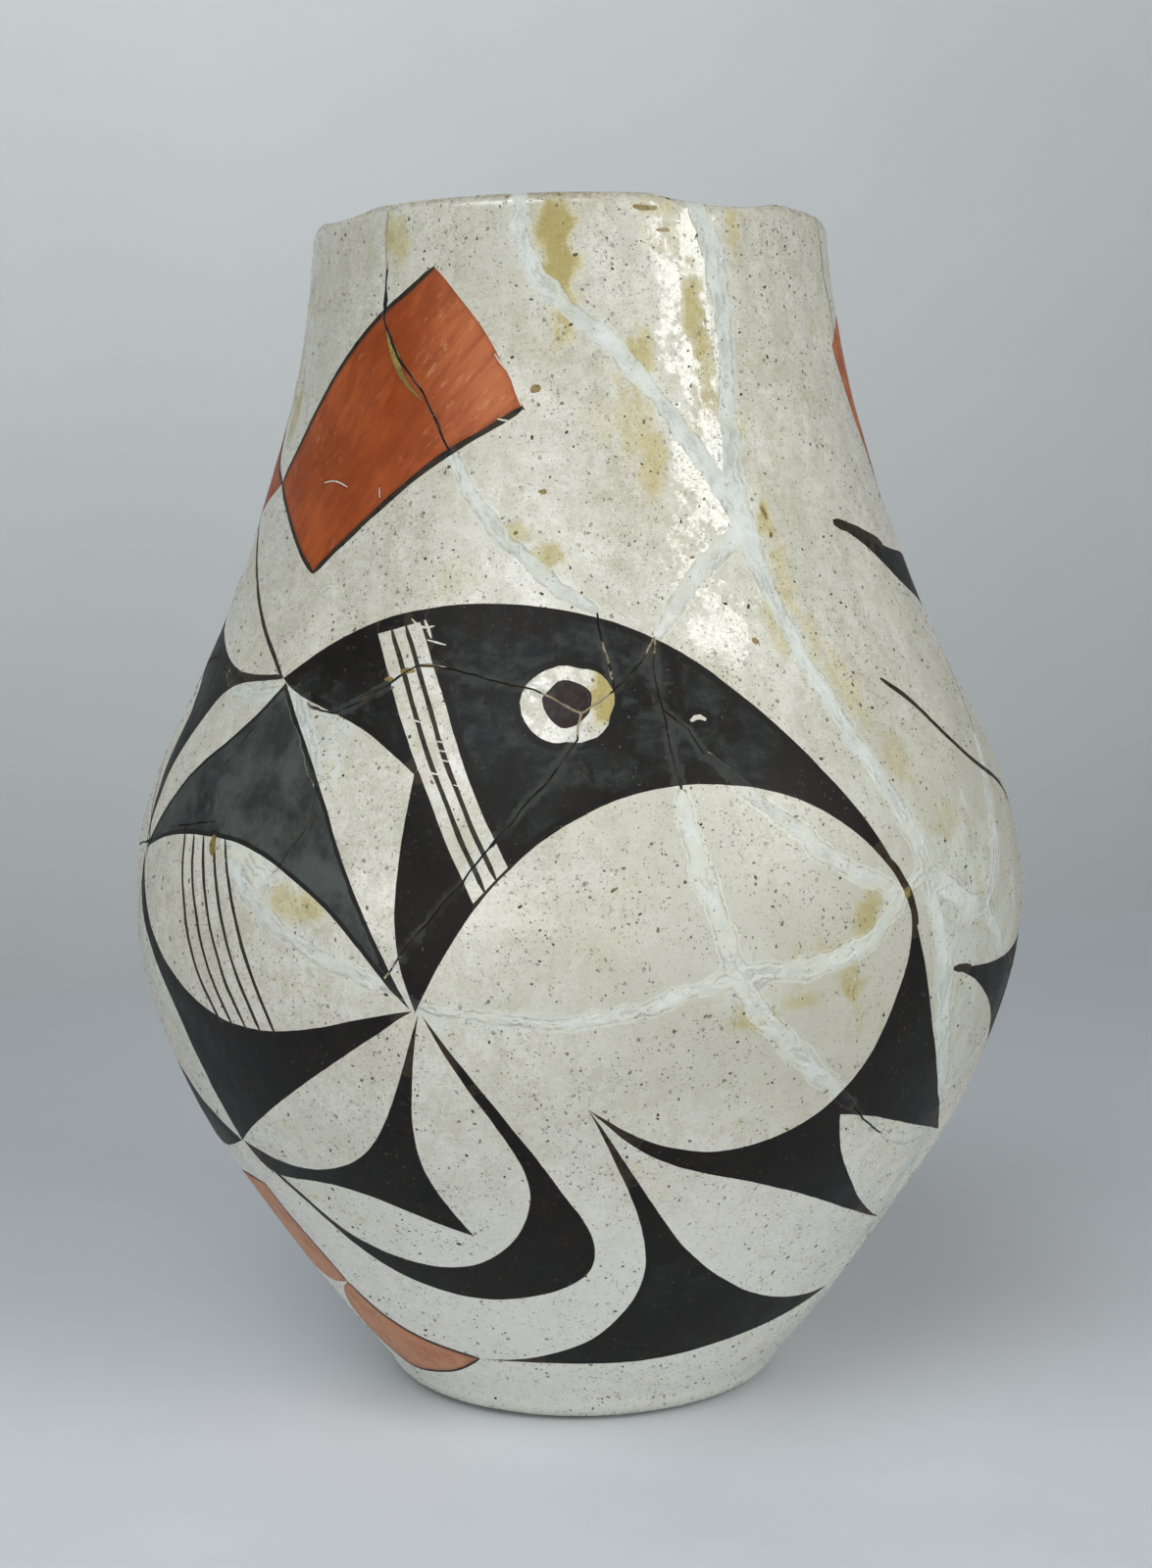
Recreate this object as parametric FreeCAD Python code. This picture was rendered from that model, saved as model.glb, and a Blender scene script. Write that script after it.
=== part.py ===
"""A tall hand-coiled pueblo water jar, mended from its sherds.

The jar broke long ago. Its sherds are glued edge to edge right through the wall, and the outer
corners of most joints were chipped away, so a groove runs along them that is filled flush with
plaster. One lost sherd on the shoulder is made up in plaster through the full wall.

Units are millimetres and degrees. The origin is the middle of the jar's footprint and +Z is up.
A place on the wall is (bearing, height): bearing 0 faces the front, -Y, and grows towards +X, the
viewer's right; height is measured up from the ground.
"""

import FreeCAD
import Part

import math
import os

from BOPTools import SplitAPI

Vector = FreeCAD.Vector

# ---------------------------------------------------------------- driving dimensions

HEIGHT = 250.0  # ground to the top of the lip
# Outer profile as (height, radius), from the foot's shoulder to just under the lip.
OUTER_PROFILE = [
    (5.5, 44.5),
    (20.0, 56.0),
    (40.0, 70.0),
    (60.0, 82.5),
    (80.0, 91.3),
    (100.0, 96.0),
    (120.0, 95.2),
    (140.0, 88.8),
    (160.0, 78.8),
    (180.0, 70.8),
    (200.0, 64.2),
    (220.0, 59.0),
    (236.0, 56.2),
    (247.4, 55.0),
]
WALL_AT_FOOT = 7.0  # wall thickness at the foot
WALL_AT_RIM = 4.8  # wall thickness under the lip
FOOT_FLAT_OUTER = 38.0  # outer radius of the flat ring that the jar stands on
FOOT_FLAT_INNER = 31.0  # inner radius of that ring, where the hollow underside starts
HEEL = (42.0, 1.8)  # (radius, height) where the wall's foot is rounded
UNDERSIDE_RISE = 5.5  # how far the hollow underside rises in the middle
FLOOR_THICKNESS = 6.8  # clay between the hollow underside and the inside floor
# Inside floor as (radius, fall below its middle): it sinks to a ring round the middle, then turns up.
FLOOR_PROFILE = [(0.0, 0.0), (18.0, 0.9), (32.0, 2.6), (42.0, -1.2)]
# Shallow dips in the hand-made lip as (bearing, length along the rim, depth).
RIM_DIPS = [(34, 32.0, 1.7), (118, 38.0, 1.0), (205, 30.0, 1.3), (262, 24.0, 0.8), (300, 26.0, 1.1)]

RIM_OVERRUN = HEIGHT + 6.0  # joints that reach the rim are cut from above it
CUT_OUTSIDE = 4.0  # how far a joint's cutting sheet stands out of the wall
CUT_INSIDE = 4.0  # how far it passes through the inner face
GROOVE_DEPTH = 2.4  # depth of the plaster-filled groove
GROOVE_FLOOR_SHARE = 0.35  # groove width at its bottom as a share of its width at the face
GROOVE_OUTSIDE = 1.6  # how far a groove's cutter stands out of the wall
PROFILE_SAMPLES = 600
DIP_REACH = (30.0, 70.0)  # radii between which a dip's roller lies across the lip
SCRAP = 0.5  # volume in mm3 under which a solid that a cut leaves is scrap

# ---------------------------------------------------------------- joints between the sherds

# Each joint runs through the full wall along these places (bearing, height).
JOINTS = {
    # front of the neck
    "neck_left": [(-41, RIM_OVERRUN), (-41, 238), (-40, 227), (-35.5, 219), (-28, 211.5), (-22, 200),
                  (-17.5, 192), (-11.5, 184), (-4, 175.5), (3, 169)],
    "neck_middle": [(-10.5, RIM_OVERRUN), (-10, 241.5), (-6, 233), (0, 226.5), (9, 219), (15, 210.5),
                    (21, 201.5), (25, 192), (28, 185)],
    "neck_right": [(27, RIM_OVERRUN), (27, 249), (30.5, 238), (31.5, 227), (30, 215), (29, 203.5),
                   (27.5, 193), (28, 185)],
    # front of the shoulder
    "shoulder_right": [(28, 185), (30, 175), (32, 165.5), (35, 155.5), (37, 145), (40.5, 134.5),
                       (43.5, 126), (45, 118.5)],
    "shoulder_branch": [(28, 185), (23.5, 181.5), (20, 177.5), (17, 173), (11, 164.5)],
    "brow": [(3, 169), (4, 162), (5, 155)],
    "brow_branch": [(11, 164.5), (9, 160), (5, 155)],
    "eye": [(5, 155), (0.5, 151)],
    "crown": [(-42.5, 154.5), (-38, 151.5), (-33.5, 150.5), (-26, 156), (-22, 159.5), (-16, 158.5),
              (-5.5, 155), (0.5, 151)],
    "throat": [(0.5, 151), (0, 146), (-3, 140), (-9.5, 128), (-14.5, 117.5), (-20.5, 106), (-22.5, 102)],
    "cheek": [(11, 164.5), (10.5, 157), (11, 151), (12, 137), (12.5, 131), (13.5, 124), (15, 116),
              (17.5, 102.5)],
    "beak": [(11, 151), (14, 147.5), (15.5, 143), (21, 135), (24.5, 130), (29, 124), (35, 118.5), (40, 115)],
    # front of the belly
    "leaf": [(-46, 121.5), (-41, 116), (-35, 109), (-29, 104.5), (-22.5, 102), (-19.5, 99)],
    "belly_left": [(-19.5, 99), (-16.5, 97), (-10, 95.5), (-3.5, 95), (3, 96), (8, 98), (17.5, 102.5)],
    "belly_middle": [(17.5, 102.5), (23, 103), (29.5, 104), (35, 107), (37.5, 111.5), (40, 115)],
    "belly_link": [(40, 115), (45, 118.5)],
    "belly_low": [(17.5, 102.5), (20.5, 95), (25, 87.5), (30.5, 80), (36, 73.5), (40, 69), (44, 65),
                  (51, 62), (58, 62)],
    # right side
    "side_upper": [(45, 118.5), (48.5, 114.5), (52.5, 111), (57, 109)],
    "side_rise": [(57, 109), (61.5, 117), (63, 124.5), (66, 133), (70, 142), (76, 154), (82, 165), (86, 173)],
    "side_chip": [(57, 109), (51, 107.5), (48, 99)],
    "side_front": [(45, 118.5), (45.5, 110.5), (48, 99), (49, 90), (52, 80), (56, 70), (58, 62)],
    "side_branch": [(56, 70), (60, 71), (64, 74.5), (71, 81), (78, 91)],
    "side_lower": [(58, 62), (58, 50), (60, 42), (66, 35), (75, 31)],
    # rim and neck at the sides and back
    "rim_right": [(70, RIM_OVERRUN), (70, 238), (73, 222), (78, 206), (80, 192), (86, 173)],
    "rim_back_right": [(122, RIM_OVERRUN), (121, 236), (124, 220), (129, 206), (129, 190)],
    "rim_back": [(176, RIM_OVERRUN), (175, 236), (171, 218), (172, 200), (170, 182), (170, 166)],
    "rim_back_left": [(233, RIM_OVERRUN), (234, 238), (230, 222), (224, 206), (223, 192)],
    "rim_left": [(268, RIM_OVERRUN), (266, 238), (269, 222), (274, 204), (275, 186), (280, 171), (280, 158)],
    # round the shoulder at the back
    "shoulder_back_1": [(86, 173), (97, 180), (111, 185), (129, 190)],
    "shoulder_back_2": [(129, 190), (140, 187), (149, 180), (159, 171), (170, 166)],
    "shoulder_back_3": [(170, 166), (181, 168), (194, 175), (208, 186), (223, 192)],
    "shoulder_back_4": [(223, 192), (238, 189), (252, 181), (266, 167), (280, 158)],
    "shoulder_left": [(280, 158), (290, 160), (298, 157), (304.5, 154), (311, 153.5), (317.5, 154.5)],
    # belly at the sides and back
    "back_1": [(149, 180), (146, 166), (139, 150), (134, 136), (133, 122), (135, 107)],
    "back_2": [(194, 175), (191, 160), (184, 146), (179, 131), (171, 118), (167, 104)],
    "back_3": [(238, 189), (236, 172), (240, 156), (242, 140), (237, 124)],
    "left_rise": [(280, 158), (281, 145), (286, 133), (290, 122)],
    "left_leaf": [(290, 122), (297, 126), (304, 127.5), (310, 129)],
    "left_belly": [(237, 124), (249, 118), (262, 116), (277, 119), (290, 122)],
    "back_belly_1": [(167, 104), (180, 97), (193, 95), (207, 99), (222, 110), (237, 124)],
    "back_belly_2": [(135, 107), (145, 109), (156, 107), (167, 104)],
    "right_belly": [(57, 109), (61, 104), (64, 98.5), (71, 93), (78, 91), (90, 91), (103, 93), (119, 100),
                    (135, 107)],
    # lower wall at the sides and back
    "low_back_1": [(119, 100), (121, 86), (117, 70), (110, 54), (107, 37)],
    "low_back_2": [(180, 97), (177, 82), (179, 66), (187, 52), (190, 38)],
    "low_back_3": [(222, 110), (226, 95), (233, 80), (237, 64), (245, 50), (247, 37)],
    "low_left": [(290, 122), (287, 106), (280, 92), (277, 76), (281, 60), (281, 46)],
    "foot_right": [(75, 31), (90, 34), (107, 37)],
    "foot_back_1": [(107, 37), (124, 41), (143, 39), (160, 35), (176, 35), (190, 38)],
    "foot_back_2": [(190, 38), (206, 36), (220, 31), (234, 32), (247, 37)],
    "foot_left": [(247, 37), (259, 43), (270, 46), (281, 46)],
    # the lost sherd of the left shoulder, made up in plaster
    "made_up_left": [(317.5, 154.5), (312, 147), (308.5, 139), (310, 129), (314, 121.5)],
    "made_up_right": [(317.5, 154.5), (321.5, 149), (324.5, 144), (327, 137.5), (326.5, 129), (323, 121.5),
                      (319, 116)],
}

# A place inside each piece of wall that the joints part: clay, but for the made-up sherd.
SHERDS = {
    "sherd_neck_left": (-64, 210),
    "sherd_neck_front": (-12, 208),
    "sherd_neck_wedge": (14, 238),
    "sherd_neck_right": (52, 190),
    "sherd_neck_side_right": (98, 215),
    "sherd_neck_back_right": (150, 215),
    "sherd_neck_back_left": (200, 215),
    "sherd_neck_side_left": (250, 215),
    "sherd_shoulder_left": (294, 142),
    "plaster_made_up_sherd": (317, 138),
    "sherd_head_left": (-20, 130),
    "sherd_head_middle": (4, 125),
    "sherd_beak": (28, 152),
    "sherd_oval_upper": (22, 118),
    "sherd_oval_lower": (36, 90),
    "sherd_side_chip": (49, 109),
    "sherd_side_strip": (62, 85),
    "sherd_side_right": (105, 140),
    "sherd_back_right": (162, 140),
    "sherd_back_left": (212, 140),
    "sherd_side_left": (262, 140),
    "sherd_low_right": (90, 60),
    "sherd_low_back_right": (150, 70),
    "sherd_low_back_left": (207, 65),
    "sherd_low_left": (258, 80),
    "sherd_base_and_front": (-10, 60),
}

# Plaster: node name, the places that its groove follows, and its width there.
PLASTER = {
    "plaster_neck_right": [(27, RIM_OVERRUN, 4.6), (27, 249, 4.8), (30.5, 238, 6.6), (31.5, 227, 5.2),
                           (30, 215, 4.4), (29, 203.5, 4.6), (27.5, 193, 5.6), (28, 185, 7.0),
                           (30, 175, 5.0), (32, 165.5, 4.2), (35, 155.5, 4.4), (37, 145, 4.8),
                           (40.5, 134.5, 5.0), (43.5, 126, 5.6), (45, 118.5, 7.0), (48.5, 114.5, 5.4),
                           (52.5, 111, 4.8), (57, 109, 5.6)],
    "plaster_neck_middle": [(-10.5, RIM_OVERRUN, 3.6), (-10, 241.5, 4.6), (-6, 233, 4.8), (0, 226.5, 4.8),
                            (9, 219, 4.4), (15, 210.5, 4.4), (21, 201.5, 4.8), (25, 192, 5.0),
                            (28, 185, 4.0)],
    "plaster_neck_left": [(-22, 200, 1.6), (-17.5, 192, 3.6), (-11.5, 184, 3.8), (-4, 175.5, 3.6),
                          (3, 169, 1.6)],
    "plaster_shoulder_branch": [(28, 185, 4.6), (23.5, 181.5, 4.8), (20, 177.5, 4.4), (17, 173, 4.6),
                                (11, 164.5, 2.2)],
    "plaster_cheek": [(12, 137, 2.0), (12.5, 131, 4.2), (13.5, 124, 4.4), (15, 116, 4.2), (17.5, 102.5, 4.8),
                      (20.5, 95, 5.0), (25, 87.5, 4.6), (30.5, 80, 4.6), (36, 73.5, 2.0)],
    "plaster_beak": [(15.5, 143, 1.6), (21, 135, 3.0), (24.5, 130, 3.6), (29, 124, 3.8), (35, 118.5, 3.6),
                     (40, 115, 3.0)],
    "plaster_belly_middle": [(17.5, 102.5, 4.4), (23, 103, 4.2), (29.5, 104, 4.8), (35, 107, 4.6),
                             (37.5, 111.5, 3.8), (40, 115, 3.4), (45, 118.5, 3.8)],
    "plaster_belly_left": [(-19.5, 99, 1.6), (-16.5, 97, 2.6), (-10, 95.5, 2.8), (-3.5, 95, 2.6),
                           (3, 96, 2.4), (8, 98, 2.8), (17.5, 102.5, 3.6)],
    "plaster_leaf": [(-46, 121.5, 4.2), (-41, 116, 4.4), (-35, 109, 4.0), (-29, 104.5, 3.6),
                     (-22.5, 102, 3.0), (-19.5, 99, 1.6)],
    "plaster_made_up_edge": [(317.5, 154.5, 3.4), (321.5, 149, 3.6), (324.5, 144, 3.2), (327, 137.5, 2.0)],
    "plaster_side_front": [(45, 118.5, 4.6), (45.5, 110.5, 4.6), (48, 99, 6.4), (49, 90, 6.6), (52, 80, 6.0),
                           (56, 70, 5.4), (58, 62, 5.6), (58, 50, 4.8), (60, 42, 3.6), (66, 35, 2.0)],
    "plaster_side_chip": [(57, 109, 4.0), (51, 107.5, 4.0), (48, 99, 4.0)],
    "plaster_side_branch": [(56, 70, 3.0), (60, 71, 3.0), (64, 74.5, 2.8), (71, 81, 1.8)],
    "plaster_side_low": [(44, 65, 1.8), (51, 62, 3.4), (58, 62, 3.8)],
    "plaster_side_rise": [(57, 109, 4.8), (61.5, 117, 5.2), (63, 124.5, 5.0), (66, 133, 4.2), (70, 142, 2.4)],
    "plaster_side_back": [(57, 109, 4.4), (61, 104, 4.6), (64, 98.5, 4.2), (71, 93, 3.2), (78, 91, 2.0)],
    "plaster_shoulder_left": [(298, 157, 2.0), (304.5, 154, 4.4), (311, 153.5, 4.2), (317.5, 154.5, 2.2)],
    "plaster_rim_back": [(176, RIM_OVERRUN, 3.6), (175, 236, 4.2), (171, 218, 4.0), (172, 200, 4.4),
                         (170, 182, 4.8), (170, 166, 5.0)],
    "plaster_shoulder_back": [(159, 171, 1.8), (170, 166, 4.2), (181, 168, 4.4), (194, 175, 4.0),
                              (208, 186, 2.2)],
    "plaster_rim_side_left": [(268, RIM_OVERRUN, 3.4), (266, 238, 3.8), (269, 222, 4.2), (274, 204, 3.6),
                              (275, 186, 2.0)],
    "plaster_back_low": [(167, 104, 2.0), (180, 97, 4.4), (193, 95, 4.8), (207, 99, 4.2), (222, 110, 2.0)],
}


# ---------------------------------------------------------------- the wall

def sampled(curve):
    """(height, radius) pairs along a profile curve that is drawn in the XZ plane."""
    return [(p.z, p.x) for p in curve.toShape().discretize(Number=PROFILE_SAMPLES)]


def outer_curve():
    curve = Part.BSplineCurve()
    curve.interpolate([Vector(radius, 0, height) for height, radius in OUTER_PROFILE])
    return curve


OUTER_SAMPLES = sampled(outer_curve())


def profile_at(height):
    """Radius of the outer face at a height, and its outward normal as (radial, vertical)."""
    height = min(max(height, OUTER_SAMPLES[0][0]), OUTER_SAMPLES[-1][0])
    index = 1
    while OUTER_SAMPLES[index][0] < height and index < len(OUTER_SAMPLES) - 1:
        index += 1
    (low_z, low_r), (high_z, high_r) = OUTER_SAMPLES[index - 1], OUTER_SAMPLES[index]
    radius = low_r + (high_r - low_r) * (height - low_z) / (high_z - low_z)
    rise, run = high_z - low_z, high_r - low_r
    length = math.hypot(rise, run)
    return radius, (rise / length, -run / length)


def thickness_at(height):
    return WALL_AT_FOOT + (WALL_AT_RIM - WALL_AT_FOOT) * min(max(height / HEIGHT, 0.0), 1.0) ** 0.5


def wall_place(bearing, height, out=0.0):
    """The point at a bearing and height on the outer face, moved out along the wall's normal."""
    radius, (radial, vertical) = profile_at(height)
    turn = math.radians(bearing)
    distance = radius + out * radial
    return Vector(distance * math.sin(turn), -distance * math.cos(turn), height + out * vertical)


def inner_curve():
    """The inner face: from the axis along the dished floor, then up inside the wall to the lip."""
    floor_height = UNDERSIDE_RISE + FLOOR_THICKNESS
    points = [Vector(radius, 0, floor_height - fall) for radius, fall in FLOOR_PROFILE]
    for height, _ in OUTER_PROFILE[1:]:
        radius, (radial, vertical) = profile_at(height)
        thickness = thickness_at(height)
        points.append(Vector(radius - thickness * radial, 0, height - thickness * vertical))
    curve = Part.BSplineCurve()
    curve.interpolate(Points=points, InitialTangent=Vector(1, 0, 0), FinalTangent=points[-1] - points[-2])
    return curve


def wall_solid():
    """The whole jar before it broke: one coiled wall and its dished base, turned about the axis."""
    outer = outer_curve()
    inner = inner_curve()
    outer_low, outer_top = outer.StartPoint, outer.EndPoint
    inner_middle, inner_top = inner.StartPoint, inner.EndPoint
    underside_top = Vector(0, 0, UNDERSIDE_RISE)
    underside_bow = (FOOT_FLAT_INNER**2 + UNDERSIDE_RISE**2) / (2 * UNDERSIDE_RISE)
    underside_half = math.sqrt(underside_bow**2 - FOOT_FLAT_INNER**2 / 4) - underside_bow + UNDERSIDE_RISE

    foot = Part.LineSegment(Vector(FOOT_FLAT_INNER, 0, 0), Vector(FOOT_FLAT_OUTER, 0, 0))
    heel = Part.Arc(Vector(FOOT_FLAT_OUTER, 0, 0), Vector(HEEL[0], 0, HEEL[1]), outer_low)
    lip = Part.Arc(outer_top, Vector((outer_top.x + inner_top.x) / 2, 0, HEIGHT), inner_top)
    axis = Part.LineSegment(inner_middle, underside_top)
    underside = Part.Arc(underside_top, Vector(FOOT_FLAT_INNER / 2, 0, underside_half),
                         Vector(FOOT_FLAT_INNER, 0, 0))
    section = Part.Wire([c.toShape() for c in (foot, heel, outer, lip, inner, axis, underside)])
    wall = Part.Face(section).revolve(Vector(0, 0, 0), Vector(0, 0, 1), 360)
    return wall.cut([rim_dip(*dip) for dip in RIM_DIPS])


def rim_dip(bearing, length, depth):
    """A wide shallow roller, lying across the lip, that leaves a dip of this length and depth."""
    radius = (length**2 / 4 + depth**2) / (2 * depth)
    turn = math.radians(bearing)
    outward = Vector(math.sin(turn), -math.cos(turn), 0)
    start = outward * DIP_REACH[0] + Vector(0, 0, HEIGHT - depth + radius)
    return Part.makeCylinder(radius, DIP_REACH[1] - DIP_REACH[0], start, outward)


# ---------------------------------------------------------------- joints, grooves and pieces

def joint_sheet(places):
    """The sheet that parts two sherds: square to the wall all along the joint."""
    outside = Part.makePolygon([wall_place(b, z, CUT_OUTSIDE) for b, z in places])
    inside = Part.makePolygon([wall_place(b, z, -thickness_at(z) - CUT_INSIDE) for b, z in places])
    return Part.makeRuledSurface(outside, inside)


def station(places, index):
    """The groove's four-sided section at one of its places."""
    bearing, height, width = places[index]
    before, after = places[max(index - 1, 0)], places[min(index + 1, len(places) - 1)]
    along = wall_place(after[0], after[1]) - wall_place(before[0], before[1])
    if height > HEIGHT:
        along = Vector(0, 0, -1)
    normal = wall_place(bearing, height, 1.0) - wall_place(bearing, height)
    side = normal.cross(along).normalize()
    floor_width = width * GROOVE_FLOOR_SHARE
    top_width = width + (width - floor_width) * GROOVE_OUTSIDE / GROOVE_DEPTH
    top = wall_place(bearing, height, GROOVE_OUTSIDE)
    bottom = wall_place(bearing, height, -GROOVE_DEPTH)
    corners = [top + side * (top_width / 2), top - side * (top_width / 2),
               bottom - side * (floor_width / 2), bottom + side * (floor_width / 2)]
    return Part.makePolygon(corners + corners[:1])


def groove_cutter(places):
    return Part.makeLoft([station(places, i) for i in range(len(places))], True, True)


def one_solid(shape, name):
    """The shape's one real solid, without the scraps that a cut may leave."""
    solids = [s for s in shape.Solids if s.Volume > SCRAP]
    if len(solids) != 1:
        raise RuntimeError(f"{name} is {len(solids)} solids")
    return solids[0]


def holds(solid, bearing, height):
    """Whether the middle of the wall at a place is in this solid."""
    return solid.isInside(wall_place(bearing, height, -thickness_at(height) / 2), 0.01, False)


def plaster_fills(wall, cutters):
    """Each groove's plaster: its share of the wall, less the grooves filled before it."""
    fills = {}
    for name, cutter in cutters.items():
        earlier = [cutters[other] for other in fills if boxes_meet(cutters[other], cutter)]
        fill = wall.common(cutter)
        fills[name] = one_solid(fill.cut(earlier) if earlier else fill, name)
    return fills


def boxes_meet(one, other):
    return one.BoundBox.intersect(other.BoundBox)


def sherds(wall, cutters):
    """The wall parted along every joint, with the grooves cut out of its outer face."""
    sheets = [joint_sheet(places) for places in JOINTS.values()]
    pieces = SplitAPI.slice(wall, sheets, "Split").Solids
    if len(pieces) != len(SHERDS):
        raise RuntimeError(f"{len(pieces)} pieces for {len(SHERDS)} names")
    for name, place in SHERDS.items():
        piece = next(p for p in pieces if holds(p, *place))
        near = [c for c in cutters if boxes_meet(c, piece)]
        yield name, one_solid(piece.cut(near) if near else piece, name)


def main():
    os.makedirs("parts", exist_ok=True)
    wall = wall_solid()
    cutters = {name: groove_cutter(places) for name, places in PLASTER.items()}
    nodes = plaster_fills(wall, cutters)
    nodes.update(sherds(wall, cutters.values()))
    for name, solid in nodes.items():
        solid.exportStep(f"parts/{name}.step")
    print(len(nodes), "nodes, volume", round(sum(s.Volume for s in nodes.values())), "of", round(wall.Volume))


main()
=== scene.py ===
"""The looks of a tall pueblo jar that was broken and mended.

A place on the wall is (bearing, height): bearing in degrees, 0 at the front (-Y) and growing towards
+X; height in millimetres above the ground. The outer face is laid out flat as a net, bearing across
and length along the wall up, and cut along every break, seam and painted edge. Each sherd and each
plaster fill is then cut from that net and takes its own thickness.
"""

import math
from functools import reduce
from itertools import product

import bpy
import numpy as np
from mathutils import Matrix, Vector, noise
from mathutils.geometry import delaunay_2d_cdt
from mathutils.kdtree import KDTree


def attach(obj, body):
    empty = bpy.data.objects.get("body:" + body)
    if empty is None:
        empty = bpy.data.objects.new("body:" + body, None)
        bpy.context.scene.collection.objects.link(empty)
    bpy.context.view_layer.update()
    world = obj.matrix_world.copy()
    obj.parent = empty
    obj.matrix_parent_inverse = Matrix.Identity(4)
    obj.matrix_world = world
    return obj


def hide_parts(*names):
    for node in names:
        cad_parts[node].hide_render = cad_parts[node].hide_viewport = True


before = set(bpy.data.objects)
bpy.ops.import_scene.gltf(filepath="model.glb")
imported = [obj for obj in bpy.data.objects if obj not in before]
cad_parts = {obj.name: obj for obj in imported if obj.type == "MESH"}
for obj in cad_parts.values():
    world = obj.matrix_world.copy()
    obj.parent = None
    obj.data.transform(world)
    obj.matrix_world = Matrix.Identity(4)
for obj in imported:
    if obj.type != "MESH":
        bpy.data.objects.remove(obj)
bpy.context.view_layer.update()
MM = 0.001

# ---------------------------------------------------------------- the wall's shape, in millimetres

HEIGHT = 250.0
OUTER_PROFILE = [(5.5, 44.5), (20, 56), (40, 70), (60, 82.5), (80, 91.3), (100, 96), (120, 95.2), (140, 88.8),
                 (160, 78.8), (180, 70.8), (200, 64.2), (220, 59), (236, 56.2), (247.4, 55)]
WALL_AT_FOOT = 7.0
WALL_AT_RIM = 4.8
FOOT_FLAT_OUTER = 38.0
FOOT_FLAT_INNER = 31.0
HEEL = (42.0, 1.8)
UNDERSIDE_RISE = 5.5
FLOOR_THICKNESS = 6.8
FLOOR_PROFILE = [(0.0, 0.0), (18.0, 0.9), (32.0, 2.6), (42.0, -1.2)]
INNER_WALL_START = 20.0  # outer height above which the inner face follows the outer one
RIM_DIPS = [(34, 32.0, 1.7), (118, 38.0, 1.0), (205, 30.0, 1.3), (262, 24.0, 0.8), (300, 26.0, 1.1)]
RIM_DIP_FADE = 14.0  # height below the lip over which a dip fades out
NET_RADIUS = 80.0  # radius at which the flat net has its true width

OUTER_SPACING = 1.7  # distance between the net's points
LIP_SPACING = 0.9
INNER_SPACING = 4.0
LINE_STEP = 0.9  # distance between points along a line
FILL_STEP = 0.85  # and along a fill
FILL_SHARE = 0.4  # of a fill's width, that it reaches to either side before its edge is made ragged
THINNEST_FILL = 0.45
GROOVE_DEPTH = 2.4
GROOVE_SLOPE = 1.3  # width of the groove's sloping side
GLUE_GAP = 0.08  # between a fill and the clay under it
FILL_SUNK = 0.03  # depth of a fill's edge below the wall
FILL_STANDS = (-0.2, 0.18)  # how low and how high a fill's face may lie
THINNEST_LAYER = 0.14
CHIP_WIDTH = 0.4  # width of a hairline break at the surface
CHIP_DEPTH = 0.32


def cubic_spline(points, count):
    """Points on the smooth curve through these points, as parts drawn with a batten are."""
    points = np.array(points, float)
    gaps = np.hypot(*np.diff(points, axis=0).T)
    knots = np.concatenate([[0], np.cumsum(gaps)])
    size = len(points)
    matrix = np.zeros((size, size))
    target = np.zeros((size, 2))
    matrix[0, :2] = (2, 1)
    target[0] = 3 * (points[1] - points[0]) / gaps[0]
    matrix[-1, -2:] = (1, 2)
    target[-1] = 3 * (points[-1] - points[-2]) / gaps[-1]
    for i in range(1, size - 1):
        before, after = 1 / gaps[i - 1], 1 / gaps[i]
        matrix[i, i - 1:i + 2] = (before, 2 * (before + after), after)
        target[i] = 3 * ((points[i] - points[i - 1]) * before**2 + (points[i + 1] - points[i]) * after**2)
    slopes = np.linalg.solve(matrix, target)
    at = np.linspace(0, knots[-1], count)
    index = np.clip(np.searchsorted(knots, at, side="right") - 1, 0, size - 2)
    gap = gaps[index][:, None]
    t = (at - knots[index])[:, None] / gap
    a, b = points[index], points[index + 1]
    return ((2 * t**3 - 3 * t**2 + 1) * a + (t**3 - 2 * t**2 + t) * gap * slopes[index]
            + (3 * t**2 - 2 * t**3) * b + (t**3 - t**2) * gap * slopes[index + 1])


def thickness_at(height):
    return WALL_AT_FOOT + (WALL_AT_RIM - WALL_AT_FOOT) * np.clip(np.asarray(height) / HEIGHT, 0, 1) ** 0.5


def build_meridian():
    """(length, radius, height, outward radial, outward vertical) from the foot's edge, up the wall and
    over the lip to the top of the inner face."""
    wall = cubic_spline([(r, z) for z, r in OUTER_PROFILE], 700)
    heel = cubic_spline([(FOOT_FLAT_OUTER, 0.0), HEEL, tuple(wall[0])], 12)[:-1]
    top = wall[-1]
    up = wall[-1] - wall[-2]
    up /= np.linalg.norm(up)
    inward = np.array([-up[1], up[0]])
    middle = top + inward * WALL_AT_RIM / 2
    rise = HEIGHT - middle[1]
    turns = np.linspace(0, math.pi, 25)[1:]
    lip = [middle - inward * math.cos(a) * WALL_AT_RIM / 2 + up * math.sin(a) * rise for a in turns]
    line = np.vstack([heel, wall, lip])
    steps = np.hypot(*np.diff(line, axis=0).T)
    length = np.concatenate([[0], np.cumsum(steps)])
    along = np.gradient(line, axis=0)
    along /= np.hypot(*along.T)[:, None]
    return length, line[:, 0], line[:, 1], along[:, 1], -along[:, 0], length[len(heel) + len(wall) - 1]


LENGTH, RADIUS, RISE, OUT_RADIAL, OUT_VERTICAL, LENGTH_LIP = build_meridian()
LENGTH_END = LENGTH[-1]
WALL_PART = LENGTH <= LENGTH_LIP + 1e-6


def length_at(height):
    return np.interp(height, RISE[WALL_PART], LENGTH[WALL_PART])


def height_at(length):
    return np.interp(np.minimum(length, LENGTH_LIP), LENGTH[WALL_PART], RISE[WALL_PART])


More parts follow.
